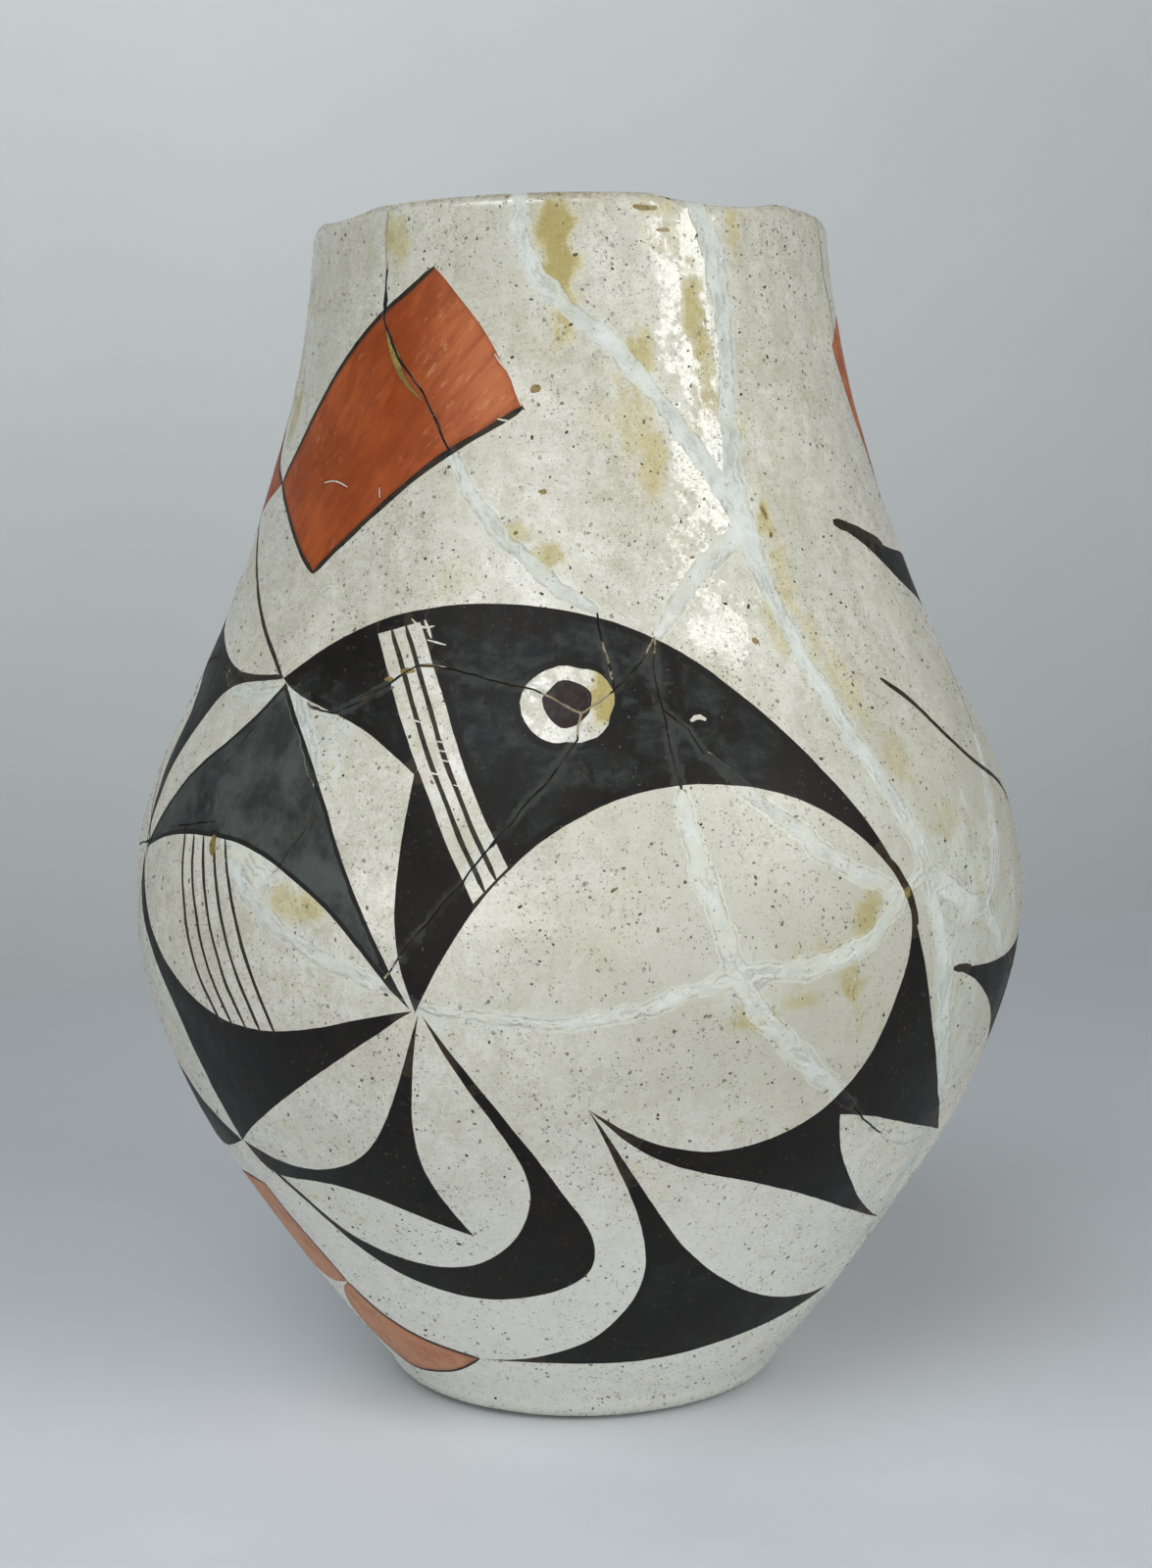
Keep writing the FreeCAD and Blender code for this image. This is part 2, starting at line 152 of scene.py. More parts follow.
def rim_dip(bearing, height):
    """How far the hand-made lip sinks here."""
    drop = np.zeros_like(bearing)
    for middle, long, deep in RIM_DIPS:
        off = (bearing - middle + 180) % 360 - 180
        across = np.radians(off) * 53 / (long / 2)
        drop += deep * np.clip(1 - across**2, 0, 1)
    fade = np.clip((height - (HEIGHT - RIM_DIP_FADE)) / RIM_DIP_FADE, 0, 1)
    return drop * fade * fade * (3 - 2 * fade)


def wall_points(bearing, length, out=0.0):
    """Points in millimetres on the outer face, moved out along its normal."""
    bearing, length = np.asarray(bearing, float), np.asarray(length, float)
    radius = np.interp(length, LENGTH, RADIUS) + out * np.interp(length, LENGTH, OUT_RADIAL)
    height = np.interp(length, LENGTH, RISE) + out * np.interp(length, LENGTH, OUT_VERTICAL)
    turn = np.radians(bearing)
    height = height - rim_dip(bearing, height)
    return np.stack([radius * np.sin(turn), -radius * np.cos(turn), height], axis=-1)


def inner_points(bearing, length):
    """Points on the inner face behind these places."""
    return wall_points(bearing, length, -thickness_at(height_at(length)))


# ---------------------------------------------------------------- breaks, as places on the wall

TO_RIM = 256.0  # a break that reaches the rim runs on past the lip
JOINTS = {
    "neck_left": [(-41, TO_RIM), (-41, 238), (-40, 227), (-35.5, 219), (-28, 211.5), (-22, 200),
                  (-17.5, 192), (-11.5, 184), (-4, 175.5), (3, 169)],
    "neck_middle": [(-10.5, TO_RIM), (-10, 241.5), (-6, 233), (0, 226.5), (9, 219), (15, 210.5),
                    (21, 201.5), (25, 192), (28, 185)],
    "neck_right": [(27, TO_RIM), (27, 249), (30.5, 238), (31.5, 227), (30, 215), (29, 203.5), (27.5, 193),
                   (28, 185)],
    "shoulder_right": [(28, 185), (30, 175), (32, 165.5), (35, 155.5), (37, 145), (40.5, 134.5),
                       (43.5, 126), (45, 118.5)],
    "shoulder_branch": [(28, 185), (23.5, 181.5), (20, 177.5), (17, 173), (11, 164.5)],
    "brow": [(3, 169), (4, 162), (5, 155)],
    "brow_branch": [(11, 164.5), (9, 160), (5, 155)],
    "eye": [(5, 155), (0.5, 151)],
    "crown": [(-42.5, 154.5), (-38, 151.5), (-33.5, 150.5), (-26, 156), (-22, 159.5), (-16, 158.5),
              (-5.5, 155), (0.5, 151)],
    "throat": [(0.5, 151), (0, 146), (-3, 140), (-9.5, 128), (-14.5, 117.5), (-20.5, 106), (-22.5, 102)],
    "cheek": [(11, 164.5), (10.5, 157), (11, 151), (12, 137), (12.5, 131), (13.5, 124), (15, 116),
              (17.5, 102.5)],
    "beak": [(11, 151), (14, 147.5), (15.5, 143), (21, 135), (24.5, 130), (29, 124), (35, 118.5), (40, 115)],
    "leaf": [(-46, 121.5), (-41, 116), (-35, 109), (-29, 104.5), (-22.5, 102), (-19.5, 99)],
    "belly_left": [(-19.5, 99), (-16.5, 97), (-10, 95.5), (-3.5, 95), (3, 96), (8, 98), (17.5, 102.5)],
    "belly_middle": [(17.5, 102.5), (23, 103), (29.5, 104), (35, 107), (37.5, 111.5), (40, 115)],
    "belly_link": [(40, 115), (45, 118.5)],
    "belly_low": [(17.5, 102.5), (20.5, 95), (25, 87.5), (30.5, 80), (36, 73.5), (40, 69), (44, 65),
                  (51, 62), (58, 62)],
    "side_upper": [(45, 118.5), (48.5, 114.5), (52.5, 111), (57, 109)],
    "side_rise": [(57, 109), (61.5, 117), (63, 124.5), (66, 133), (70, 142), (76, 154), (82, 165), (86, 173)],
    "side_chip": [(57, 109), (51, 107.5), (48, 99)],
    "side_front": [(45, 118.5), (45.5, 110.5), (48, 99), (49, 90), (52, 80), (56, 70), (58, 62)],
    "side_branch": [(56, 70), (60, 71), (64, 74.5), (71, 81), (78, 91)],
    "side_lower": [(58, 62), (58, 50), (60, 42), (66, 35), (75, 31)],
    "rim_right": [(70, TO_RIM), (70, 238), (73, 222), (78, 206), (80, 192), (86, 173)],
    "rim_back_right": [(122, TO_RIM), (121, 236), (124, 220), (129, 206), (129, 190)],
    "rim_back": [(176, TO_RIM), (175, 236), (171, 218), (172, 200), (170, 182), (170, 166)],
    "rim_back_left": [(233, TO_RIM), (234, 238), (230, 222), (224, 206), (223, 192)],
    "rim_left": [(268, TO_RIM), (266, 238), (269, 222), (274, 204), (275, 186), (280, 171), (280, 158)],
    "shoulder_back_1": [(86, 173), (97, 180), (111, 185), (129, 190)],
    "shoulder_back_2": [(129, 190), (140, 187), (149, 180), (159, 171), (170, 166)],
    "shoulder_back_3": [(170, 166), (181, 168), (194, 175), (208, 186), (223, 192)],
    "shoulder_back_4": [(223, 192), (238, 189), (252, 181), (266, 167), (280, 158)],
    "shoulder_left": [(280, 158), (290, 160), (298, 157), (304.5, 154), (311, 153.5), (317.5, 154.5)],
    "back_1": [(149, 180), (146, 166), (139, 150), (134, 136), (133, 122), (135, 107)],
    "back_2": [(194, 175), (191, 160), (184, 146), (179, 131), (171, 118), (167, 104)],
    "back_3": [(238, 189), (236, 172), (240, 156), (242, 140), (237, 124)],
    "left_rise": [(280, 158), (281, 145), (286, 133), (290, 122)],
    "left_leaf": [(290, 122), (297, 126), (304, 127.5), (310, 129)],
    "left_belly": [(237, 124), (249, 118), (262, 116), (277, 119), (290, 122)],
    "back_belly_1": [(167, 104), (180, 97), (193, 95), (207, 99), (222, 110), (237, 124)],
    "back_belly_2": [(135, 107), (145, 109), (156, 107), (167, 104)],
    "right_belly": [(57, 109), (61, 104), (64, 98.5), (71, 93), (78, 91), (90, 91), (103, 93), (119, 100),
                    (135, 107)],
    "low_back_1": [(119, 100), (121, 86), (117, 70), (110, 54), (107, 37)],
    "low_back_2": [(180, 97), (177, 82), (179, 66), (187, 52), (190, 38)],
    "low_back_3": [(222, 110), (226, 95), (233, 80), (237, 64), (245, 50), (247, 37)],
    "low_left": [(290, 122), (287, 106), (280, 92), (277, 76), (281, 60), (281, 46)],
    "foot_right": [(75, 31), (90, 34), (107, 37)],
    "foot_back_1": [(107, 37), (124, 41), (143, 39), (160, 35), (176, 35), (190, 38)],
    "foot_back_2": [(190, 38), (206, 36), (220, 31), (234, 32), (247, 37)],
    "foot_left": [(247, 37), (259, 43), (270, 46), (281, 46)],
    "made_up_left": [(317.5, 154.5), (312, 147), (308.5, 139), (310, 129), (314, 121.5)],
    "made_up_right": [(317.5, 154.5), (321.5, 149), (324.5, 144), (327, 137.5), (326.5, 129), (323, 121.5),
                      (319, 116)],
}
# A place inside each piece of wall.
SHERDS = {
    "sherd_neck_left": (-64, 210), "sherd_neck_front": (-12, 208), "sherd_neck_wedge": (14, 238),
    "sherd_neck_right": (52, 190), "sherd_neck_side_right": (98, 215), "sherd_neck_back_right": (150, 215),
    "sherd_neck_back_left": (200, 215), "sherd_neck_side_left": (250, 215), "sherd_shoulder_left": (294, 142),
    "plaster_made_up_sherd": (317, 138), "sherd_head_left": (-20, 130), "sherd_head_middle": (4, 125),
    "sherd_beak": (28, 152), "sherd_oval_upper": (22, 118), "sherd_oval_lower": (36, 90),
    "sherd_side_chip": (49, 109), "sherd_side_strip": (62, 85), "sherd_side_right": (105, 140),
    "sherd_back_right": (162, 140), "sherd_back_left": (212, 140), "sherd_side_left": (262, 140),
    "sherd_low_right": (90, 60), "sherd_low_back_right": (150, 70), "sherd_low_back_left": (207, 65),
    "sherd_low_left": (258, 80), "sherd_base_and_front": (-10, 60),
}
# Plaster: the joints that each fill follows, the number of their place where it starts, and its width at
# each place from there.
PLASTER = {
    "plaster_neck_right": (("neck_right", "shoulder_right", "side_upper"), 0,
                           (4.6, 4.8, 6.6, 5.2, 4.4, 4.6, 5.6, 7.0, 5.0, 4.2, 4.4, 4.8, 5.0, 5.6, 7.0, 5.4, 4.8,
                            5.6)),
    "plaster_neck_middle": (("neck_middle",), 0, (3.6, 4.6, 4.8, 4.8, 4.4, 4.4, 4.8, 5.0, 4.0)),
    "plaster_neck_left": (("neck_left",), 5, (1.6, 3.6, 3.8, 3.6, 1.6)),
    "plaster_shoulder_branch": (("shoulder_branch",), 0, (4.6, 4.8, 4.4, 4.6, 2.2)),
    "plaster_cheek": (("cheek", "belly_low"), 3, (2.0, 4.2, 4.4, 4.2, 4.8, 5.0, 4.6, 4.6, 2.0)),
    "plaster_beak": (("beak",), 2, (1.6, 3.0, 3.6, 3.8, 3.6, 3.0)),
    "plaster_belly_middle": (("belly_middle", "belly_link"), 0, (4.4, 4.2, 4.8, 4.6, 3.8, 3.4, 3.8)),
    "plaster_belly_left": (("belly_left",), 0, (1.6, 2.6, 2.8, 2.6, 2.4, 2.8, 3.6)),
    "plaster_leaf": (("leaf",), 0, (4.2, 4.4, 4.0, 3.6, 3.0, 1.6)),
    "plaster_made_up_edge": (("made_up_right",), 0, (4.6, 5.6, 4.6, 2.6)),
    "plaster_side_front": (("side_front", "side_lower"), 0,
                           (4.6, 4.6, 6.4, 6.6, 6.0, 5.4, 5.6, 4.8, 3.6, 2.0)),
    "plaster_side_chip": (("side_chip",), 0, (4.0, 4.0, 4.0)),
    "plaster_side_branch": (("side_branch",), 0, (3.0, 3.0, 2.8, 1.8)),
    "plaster_side_low": (("belly_low",), 6, (1.8, 3.4, 3.8)),
    "plaster_side_rise": (("side_rise",), 0, (4.8, 5.2, 5.0, 4.2, 2.4)),
    "plaster_side_back": (("right_belly",), 0, (4.4, 4.6, 4.2, 3.2, 2.0)),
    "plaster_shoulder_left": (("shoulder_left",), 2, (2.0, 4.4, 4.2, 2.2)),
    "plaster_rim_back": (("rim_back",), 0, (3.6, 4.2, 4.0, 4.4, 4.8, 5.0)),
    "plaster_shoulder_back": (("shoulder_back_2", "shoulder_back_3"), 3, (1.8, 4.2, 4.4, 4.0, 2.2)),
    "plaster_rim_side_left": (("rim_left",), 0, (3.4, 3.8, 4.2, 3.6, 2.0)),
    "plaster_back_low": (("back_belly_1",), 0, (2.0, 4.4, 4.8, 4.2, 2.0)),
}

# ---------------------------------------------------------------- the painting, as places on the wall

# A painted form is a ring of strokes. Each is a smooth curve that ends in the first point of the next one,
# and the form has a corner there.
HEAD = [
    [(-45.5, 156.8), (-35.7, 164.8), (-23, 170), (-9.5, 170.9), (1.9, 168.6), (12.7, 163.1), (22, 153.6),
     (32.3, 136.7), (38.8, 121.5)],
    [(40.9, 115.1), (35.9, 124.2), (27.5, 133.6), (17.7, 137.4), (8.1, 136.7), (0.1, 132.3), (-6.5, 124.9),
     (-11.6, 115.7), (-15.5, 105.6)],
    [(-18.6, 96.5), (-20.4, 108), (-20.6, 122)],
    [(-19.9, 139.9), (-26.5, 146.4), (-33.6, 150.5), (-42.2, 154.4)],
]
BEAK_BLOCK = [
    [(40.9, 115.1), (44.1, 99.3), (48.6, 84.3), (55, 71.5)],
    [(64, 60), (57.3, 62.8), (47.8, 66.8), (40.3, 70.2)],
    [(34.3, 72.2), (35.8, 65.9), (38.8, 59.7), (42.9, 54.1), (50.2, 47.2)],
    [(62, 40.5), (47.1, 47), (35.1, 53.6), (20.5, 61.1), (8, 68.1)],
    [(0.8, 78), (5.4, 73.1), (14.3, 68.1), (24.7, 69.5), (33.5, 77.6), (39.3, 94.6), (41.2, 107.5)],
]
BOTTOM_LEAF = [
    [(0.8, 78), (3.4, 69), (6.6, 58), (9.5, 43.7), (9.2, 36.3), (6.8, 30.2), (2.6, 24.7), (-4.4, 20.4),
     (-11.9, 17.9)],
    [(-24, 16.2), (-10, 16.7), (11.4, 16.8), (33.7, 19.7), (46.3, 22.1)],
    [(60, 25), (41.9, 27.6), (29.8, 32.6), (22.2, 38.2), (16.8, 44), (11.9, 51.8), (5.7, 65.7)],
]
GREY_FORM = [
    [(-44.5, 156), (-50.6, 146.5), (-58.7, 138.1), (-66, 128)],
    [(-71, 120.5), (-60, 125), (-53.1, 126), (-42.5, 125), (-34.1, 119.5), (-27.2, 111.4), (-22.3, 102.4)],
    [(-19.2, 97), (-21.7, 105.2), (-27.4, 122.8), (-32.9, 137.6), (-39.5, 149)],
]
SHOULDER_LEAF = [
    [(-132, 185.8), (-124, 184.4), (-115.3, 181.8), (-98, 179), (-82, 169), (-70, 163), (-57.4, 157.6)],
    [(-45, 156.6), (-52, 155.8), (-57.8, 154.4), (-61.4, 151.4), (-63.4, 147.7), (-66.5, 140.9),
     (-68.7, 135.6)],
    [(-71.2, 120.3), (-71.8, 131.4), (-71.2, 140.6), (-71, 147.5), (-78, 156), (-87, 161), (-100, 168),
     (-114.3, 175), (-121.2, 180)],
]
CRESCENT = [
    [(-18.9, 96.8), (-23.8, 95.2), (-35, 90.8), (-47.5, 90.6), (-58.1, 97.1), (-67.7, 110)],
    [(-71.4, 120), (-71.5, 112), (-66, 101), (-61, 90.5), (-58.3, 80), (-56.4, 71)],
    [(-55.6, 62.3), (-42.5, 73.3), (-28.6, 86.7)],
]
CENTRE_LEAF = [
    [(-18.3, 96.2), (-20.6, 86.4), (-25.2, 72.7), (-28.6, 66.8), (-33.7, 62.5), (-39.8, 60.3), (-46, 60.2)],
    [(-55.2, 62.6), (-52.7, 57.6), (-45.6, 56.7), (-35.4, 57.2), (-27.7, 54.8), (-20.8, 51.3)],
    [(-16, 49.2), (-19, 56.2), (-21.1, 66.9), (-20.9, 75), (-19.8, 84)],
]
SWEEP = [
    [(-17.9, 96.2), (-12.7, 84.1), (-6, 68.1), (-2.5, 59.5), (0.4, 52.6), (1.7, 46.7), (1.1, 41.8),
     (-1.7, 38.1), (-7.6, 35), (-16.5, 33.3), (-24.6, 34.2), (-32.4, 37.1), (-38.6, 41.6), (-43, 46.8)],
    [(-55.2, 62.3), (-47.2, 54), (-42.2, 47.9), (-37.6, 44.3), (-30.7, 41.5), (-23.6, 40.6), (-16.4, 42.5),
     (-11.8, 46.4), (-8.8, 51.3), (-7.2, 57.2), (-7.2, 62.7), (-8.4, 68.5), (-10.4, 74.2), (-15.4, 87.9)],
]
SIDE_TRIANGLE = [
    [(50.2, 98.3), (63, 96.9), (74, 98.5), (86, 105)],
    [(95, 115), (91, 98), (91, 82)],
    [(95, 62), (84, 67), (73, 77), (63, 88), (56, 94.5)],
]
SIDE_LEAF = [
    [(-55.8, 62.3), (-64, 68.5), (-74, 76), (-88, 84)],
    [(-106, 87), (-92, 72), (-78, 59.5), (-66, 58)],
]
HEAD_STRIPES = [
    [(-29.6, 165.4), (-24.8, 154), (-19.2, 140)],
    [(-11.6, 117.1)],
    [(-7.8, 123.7), (-12.7, 138.3), (-18.1, 155)],
    [(-22.9, 167.6)],
]
ORANGE_UPPER = [
    [(-28.3, 236.4), (-19.8, 227.2), (-11.4, 214.1)],
    [(-8.7, 208.6), (-14.6, 204.4), (-22, 199.9), (-35.3, 188.3)],
    [(-46.3, 177), (-54.5, 184.5)],
    [(-66.5, 195.5), (-56.1, 212), (-45.3, 224.6), (-34.7, 232.1)],
]
ORANGE_NEXT = [
    [(-66.5, 195.5), (-76, 203.5), (-81.5, 215)],
    [(-84, 233), (-98, 230)],
    [(-112, 222), (-107, 208)],
    [(-101, 193), (-85, 189)],
]
ORANGE_LOW = [
    [(-57.4, 51.9), (-55.7, 43.7), (-53.8, 37.2)],
    [(-51.3, 30), (-62, 28), (-74, 33)],
    [(-80, 43), (-70, 50.5)],
]
ORANGE_FOOT = [
    [(-51.3, 30), (-43.9, 22.5), (-35.1, 18.8)],
    [(-24, 16.3), (-32.5, 11.7), (-42.4, 9.2), (-55.5, 9), (-63, 14), (-60, 23)],
]
EYE = {"place": (-1.2, 152.6), "ring": (6.1, 7.3), "pupil": (3.2, 4.3)}
BRUSH_WIDTH = 0.9  # width of a line drawn with one stroke
STRIPE_LINES = 2
HATCH_LINES = 5
HATCH_EDGES = ([(-56.5, 126.2), (-55.2, 116.4), (-50.9, 97.8), (-48.4, 89.5)],
               [(-46.9, 126), (-44.7, 116.2), (-40.6, 99.9), (-38.4, 89.5)])


def closed(strokes):
    """The strokes of a form, each with its end, which is the next one's first point."""
    return [places + following[:1] for places, following in zip(strokes, strokes[1:] + strokes[:1])]


# Lines of one stroke: (places, width).
LINES = [
    ([(-45.9, 157), (-49.4, 160.7), (-55.1, 166.3), (-64.9, 176.1), (-75, 185), (-88, 193), (-101, 198)], 1.0),
    ([(47.2, 155.1), (51.7, 150.9), (59.6, 140.9), (65.8, 135.8), (74.2, 131), (82, 123), (90, 111)], 1.3),
    (closed(ORANGE_UPPER)[3], 1.1), (closed(ORANGE_UPPER)[2][::-1], 1.0),
    ([(-46.3, 177), (-35.3, 188.3), (-22, 199.9), (-14.6, 204.4), (-8.7, 208.4)], 1.3),
    (closed(ORANGE_NEXT)[0], 1.0), (closed(ORANGE_LOW)[0], 0.8),
    ([(-51.3, 30), (-43.9, 22.5), (-35.1, 18.8), (-24, 16.2)], 0.9), (closed(ORANGE_LOW)[2][::-1], 0.8),
    (ORANGE_FOOT[1][:5], 0.7),
    ([(-58, 157), (-52, 156.5), (-45.6, 157)], 1.3), ([(-131.8, 185.9), (-122, 183.8), (-115.3, 181.8)], 2.2),
    ([(38.6, 121.4), (40.8, 115.4), (42.2, 108.6)], 1.9), ([(50, 98.3), (54.5, 97.4)], 1.7),
]
# White scratches through the paint: (places, width).
SCRATCHES = [
    ([(-49.5, 194.9), (-46, 195.2), (-42.4, 193.9)], 0.35), ([(-34.9, 193.6), (-34.4, 191.6)], 0.35),
    ([(-24.4, 168.2), (-22.2, 166.6), (-20.6, 166.9)], 0.5), ([(-22.2, 168), (-20.8, 164.6)], 0.7),
    ([(-21.4, 164.3), (-18.4, 163.4)], 0.4), ([(-20.6, 159.8), (-17.8, 159.3)], 0.35),
    ([(-17.9, 146), (-15.2, 145.4)], 0.35), ([(-18.4, 144.4), (-15.8, 144.1)], 0.3),
    ([(-17.6, 142.9), (-15.4, 142.3)], 0.35), ([(-19.6, 140.8), (-16.6, 140)], 0.45),
    ([(-22.4, 149.9), (-19.8, 149.1)], 0.4), ([(-14.8, 138.2), (-12.4, 137.4)], 0.35),
    ([(14.5, 149.0), (15.6, 149.8), (16.6, 149.2)], 1.3), ([(-9, 208.6), (-11, 213.4)], 0.4),
    ([(-12.2, 215.6), (-14.6, 218.8)], 0.35), ([(-10.8, 205.6), (-13.4, 206.2)], 0.45),
]
# Drips of resin: (bearing, height, half width in degrees, half height).
RESIN_DROPS = [
    (15.4, 247.0, 2.6, 0.9), (19, 242.9, 1.6, 0.45), (-6.8, 211.7, 0.75, 0.9), (-6.2, 208.9, 0.3, 0.4),
    (-4.8, 191.9, 0.8, 0.55), (-9.4, 184.2, 0.5, 0.45), (32.5, 187.6, 0.4, 1.3), (33, 183.2, 0.4, 0.6),
    (26.2, 163.2, 0.7, 0.8), (40.5, 115.2, 0.55, 1.0), (-26.2, 156.9, 0.7, 0.6), (-23.7, 158.5, 1.1, 0.45),
    (-20.9, 159.4, 1.3, 0.5), (-49.2, 124.4, 0.6, 1.9),
]
AMBER_RUN = [
    [(-39.4, 225.6), (-38.2, 221.4), (-36.4, 218), (-34.2, 215), (-31, 212)],
    [(-28, 210), (-30.6, 212.4), (-33.6, 215.9), (-35.2, 219.6), (-37.4, 222.6)],
]

# The finishes of a face, by number. The first six are paints.
FINISHES = ["white_slip", "black_paint", "orange_paint", "grey_overpaint", "eye_paint", "old_resin",
            "broken_edge", "bare_clay", "seam_plaster", "made_up_plaster"]
WHITE, BLACK, ORANGE, GREY, PUPIL, RESIN, BROKEN, CLAY, SEAM_PLASTER, MADE_UP_PLASTER = range(len(FINISHES))

# ---------------------------------------------------------------- lines on the net

PERIOD = 2 * math.pi * NET_RADIUS
SEAM = PERIOD / 2
HERE_TOO = (-PERIOD, 0.0, PERIOD)  # the net is drawn once more on either side, so lines run across its seam
LIP_TOP = LENGTH_LIP + (LENGTH_END - LENGTH_LIP) * 0.62  # plaster over the lip ends just past its top
JOINT_LINE, PLASTER_LINE, CHIP_LINE, PAINT_LINE, NET_EDGE = 1, 2, 4, 8, 16
CLOSE = 1e-4  # places on the net this near are one
NEAR = 1e-3  # and this near a line of the net, they are on it
ROW_SHARE = 0.87  # distance between rows of points, to that between the points in one


def radius_at(length):
    return np.interp(length, LENGTH, RADIUS)


def on_wall(net_points, out=0.0):
    """Points on the wall, in millimetres, at these places on the net."""
    return wall_points(np.degrees(net_points[:, 0] / NET_RADIUS), net_points[:, 1], out)


def lumps(points, size, seed):
    """Smooth noise from about -1 to 1 at these points, with lumps of this size in millimetres."""
    shift = Vector((seed * 17.31, seed * 31.77, seed * 11.93))
    return np.array([noise.noise(Vector(p) / size + shift) for p in points])


def tree_of(points):
    """Points made ready to be searched for the nearest one."""
    tree = KDTree(len(points))
    for i, point in enumerate(points):
        tree.insert(point, i)
    tree.balance()
    return tree


def to_net(places, turn=0.0):
    """Net points of (bearing, height) places. A line that goes to the rim runs straight over the lip."""
    points = []
    for bearing, height in places:
        x = math.radians(bearing + turn) * NET_RADIUS
        if height == TO_RIM:
            points += [(x, LENGTH_END + 2), (x, LENGTH_LIP)]
        elif height < OUTER_PROFILE[-1][0]:
            points.append((x, float(length_at(height))))
    return np.array(points)


def true_lengths(points):
    """Length on the wall of each step of a line on the net."""
    middle = (points[1:, 1] + points[:-1, 1]) / 2
    return np.hypot(np.diff(points[:, 0]) * radius_at(middle) / NET_RADIUS, np.diff(points[:, 1]))


def resample(points, step):
    """The line again with points a step apart. Its corners stay, and so do values in further columns."""
    made = []
    for i, long in enumerate(true_lengths(points)):
        count = max(1, round(long / step))
        made += [points[i] * (1 - t) + points[i + 1] * t for t in np.arange(count) / count]
    return np.array([*made, points[-1]])


def waver(points, amounts, seed):
    """Moves points by a noise of their place, so that lines which meet still meet. It fades at the lip."""
    where = on_wall(points)
    fade = np.clip((LENGTH_LIP - points[:, 1]) / 6, 0, 1)
    moved = points.copy()
    for size, amount in amounts:
        moved[:, 0] += lumps(where, size, seed) * amount * fade * NET_RADIUS / radius_at(points[:, 1])
        moved[:, 1] += lumps(where, size, seed + 5) * amount * fade
    return moved


def ribbon(points, half_widths):
    """The outline of a band along this line, with these half widths on its left and right."""
    scale = radius_at(points[:, 1]) / NET_RADIUS
    along = np.gradient(points, axis=0)
    true = np.stack([along[:, 0] * scale, along[:, 1]], axis=-1)
    true /= np.maximum(np.hypot(*true.T), 1e-9)[:, None]
    side = np.stack([-true[:, 1] / scale, true[:, 0]], axis=-1)
    left, right = half_widths
    return np.vstack([points + side * left[:, None], (points - side * right[:, None])[::-1]])


def stroke(places, turn, step=0.95):
    """A smooth painted stroke through these places."""
    points = to_net(places, turn)
    long = true_lengths(points).sum()
    return cubic_spline(points, max(3, round(long / step)) + 1) if len(points) > 2 else resample(points, step)


def brushed(points, turn):
    """A painted line as a hand leaves it: the far side of the jar repeats the front freely."""
    free = 1.3 if turn else 0.0
    return waver(points, [(45, free), (8, 0.16), (2.2, 0.07)], 3)


# ---------------------------------------------------------------- the net of the outer face

class Net:
    """Points and lines to be laid out flat, and the outlines of what they bound."""

    def __init__(self):
        self.points, self.edges, self.kinds = [], [], []
        self.plaster, self.chips, self.paint = [], [], []

    def line(self, points, kind, closed=False):
        for shift in HERE_TOO:
            moved = points + (shift, 0)
            if moved[:, 0].max() < -SEAM - 6 or moved[:, 0].min() > SEAM + 6:
                continue
            start, count = len(self.points), len(moved)
            self.points += moved.tolist()
            pairs = [(start + i, start + i + 1) for i in range(count - 1)]
            if closed:
                pairs.append((start + count - 1, start))
            self.edges += pairs
            self.kinds += [kind] * len(pairs)

    def outline(self, points, kind, kept, what):
        self.line(points, kind, closed=True)
        kept.append((points, what))


JAGGED = [(9, 0.5), (2.9, 0.26), (1.3, 0.16)]  # how a break wanders: (size of its bends, how far)


def crack_line(places):
    return waver(resample(to_net(places), LINE_STEP), JAGGED, 1)


def draw_breaks(net):
    for name, places in JOINTS.items():
        line = crack_line(places)
        net.line(line, JOINT_LINE)
        where = on_wall(line)
        loss = np.clip(lumps(where, 5, 21) * 1.6 - 0.35, 0, 1) * 0.9  # here and there a larger chip
        left = CHIP_WIDTH / 2 * (1 + 0.35 * lumps(where, 2.5, 22)) + loss
        right = CHIP_WIDTH / 2 * (1 + 0.35 * lumps(where, 2.5, 23)) + np.clip(loss - 0.3, 0, 1) * 0.6
        net.outline(ribbon(line, (left, right)), CHIP_LINE, net.chips, name)


def draw_plaster(net):
    for name, (joints, start, widths) in PLASTER.items():
        places = list(JOINTS[joints[0]])
        for joint in joints[1:]:
            places += JOINTS[joint][1:]
        points = to_net(places[start:start + len(widths)])
        widths = [widths[0]] * (len(points) - len(widths)) + list(widths)
        points = resample(np.column_stack([points, widths]), FILL_STEP)
        keep = points[:, 1] <= LIP_TOP
        line, widths = waver(points[:, :2], JAGGED, 1)[keep], points[keep, 2]
        where = on_wall(line)
        left, right = (np.maximum(FILL_SHARE * widths + 0.8 * lumps(where, 6, seed)
                                  + 0.45 * lumps(where, 2.3, seed + 1) + 0.22 * lumps(where, 1.1, seed + 2),
                                  THINNEST_FILL) for seed in (31, 36))
        net.outline(ribbon(line, (left, right)), PLASTER_LINE, net.plaster, name)


def form_outline(strokes, turn):
    return np.vstack([stroke(places, turn)[:-1] for places in closed(strokes)])


def oval(place, half, turn, count=26):
    """A ring drawn round a place; its half sizes are degrees of bearing and millimetres of height."""
    turns = np.linspace(0, 2 * math.pi, count, endpoint=False)
    places = [(place[0] + half[0] * math.cos(a), place[1] + half[1] * math.sin(a)) for a in turns]
    return to_net(places, turn)


def blend_lines(first, second, share):
    """The line at this share of the way from one line to another."""
    return [tuple(a * (1 - share) + b * share for a, b in zip(one, other)) for one, other in zip(first, second)]


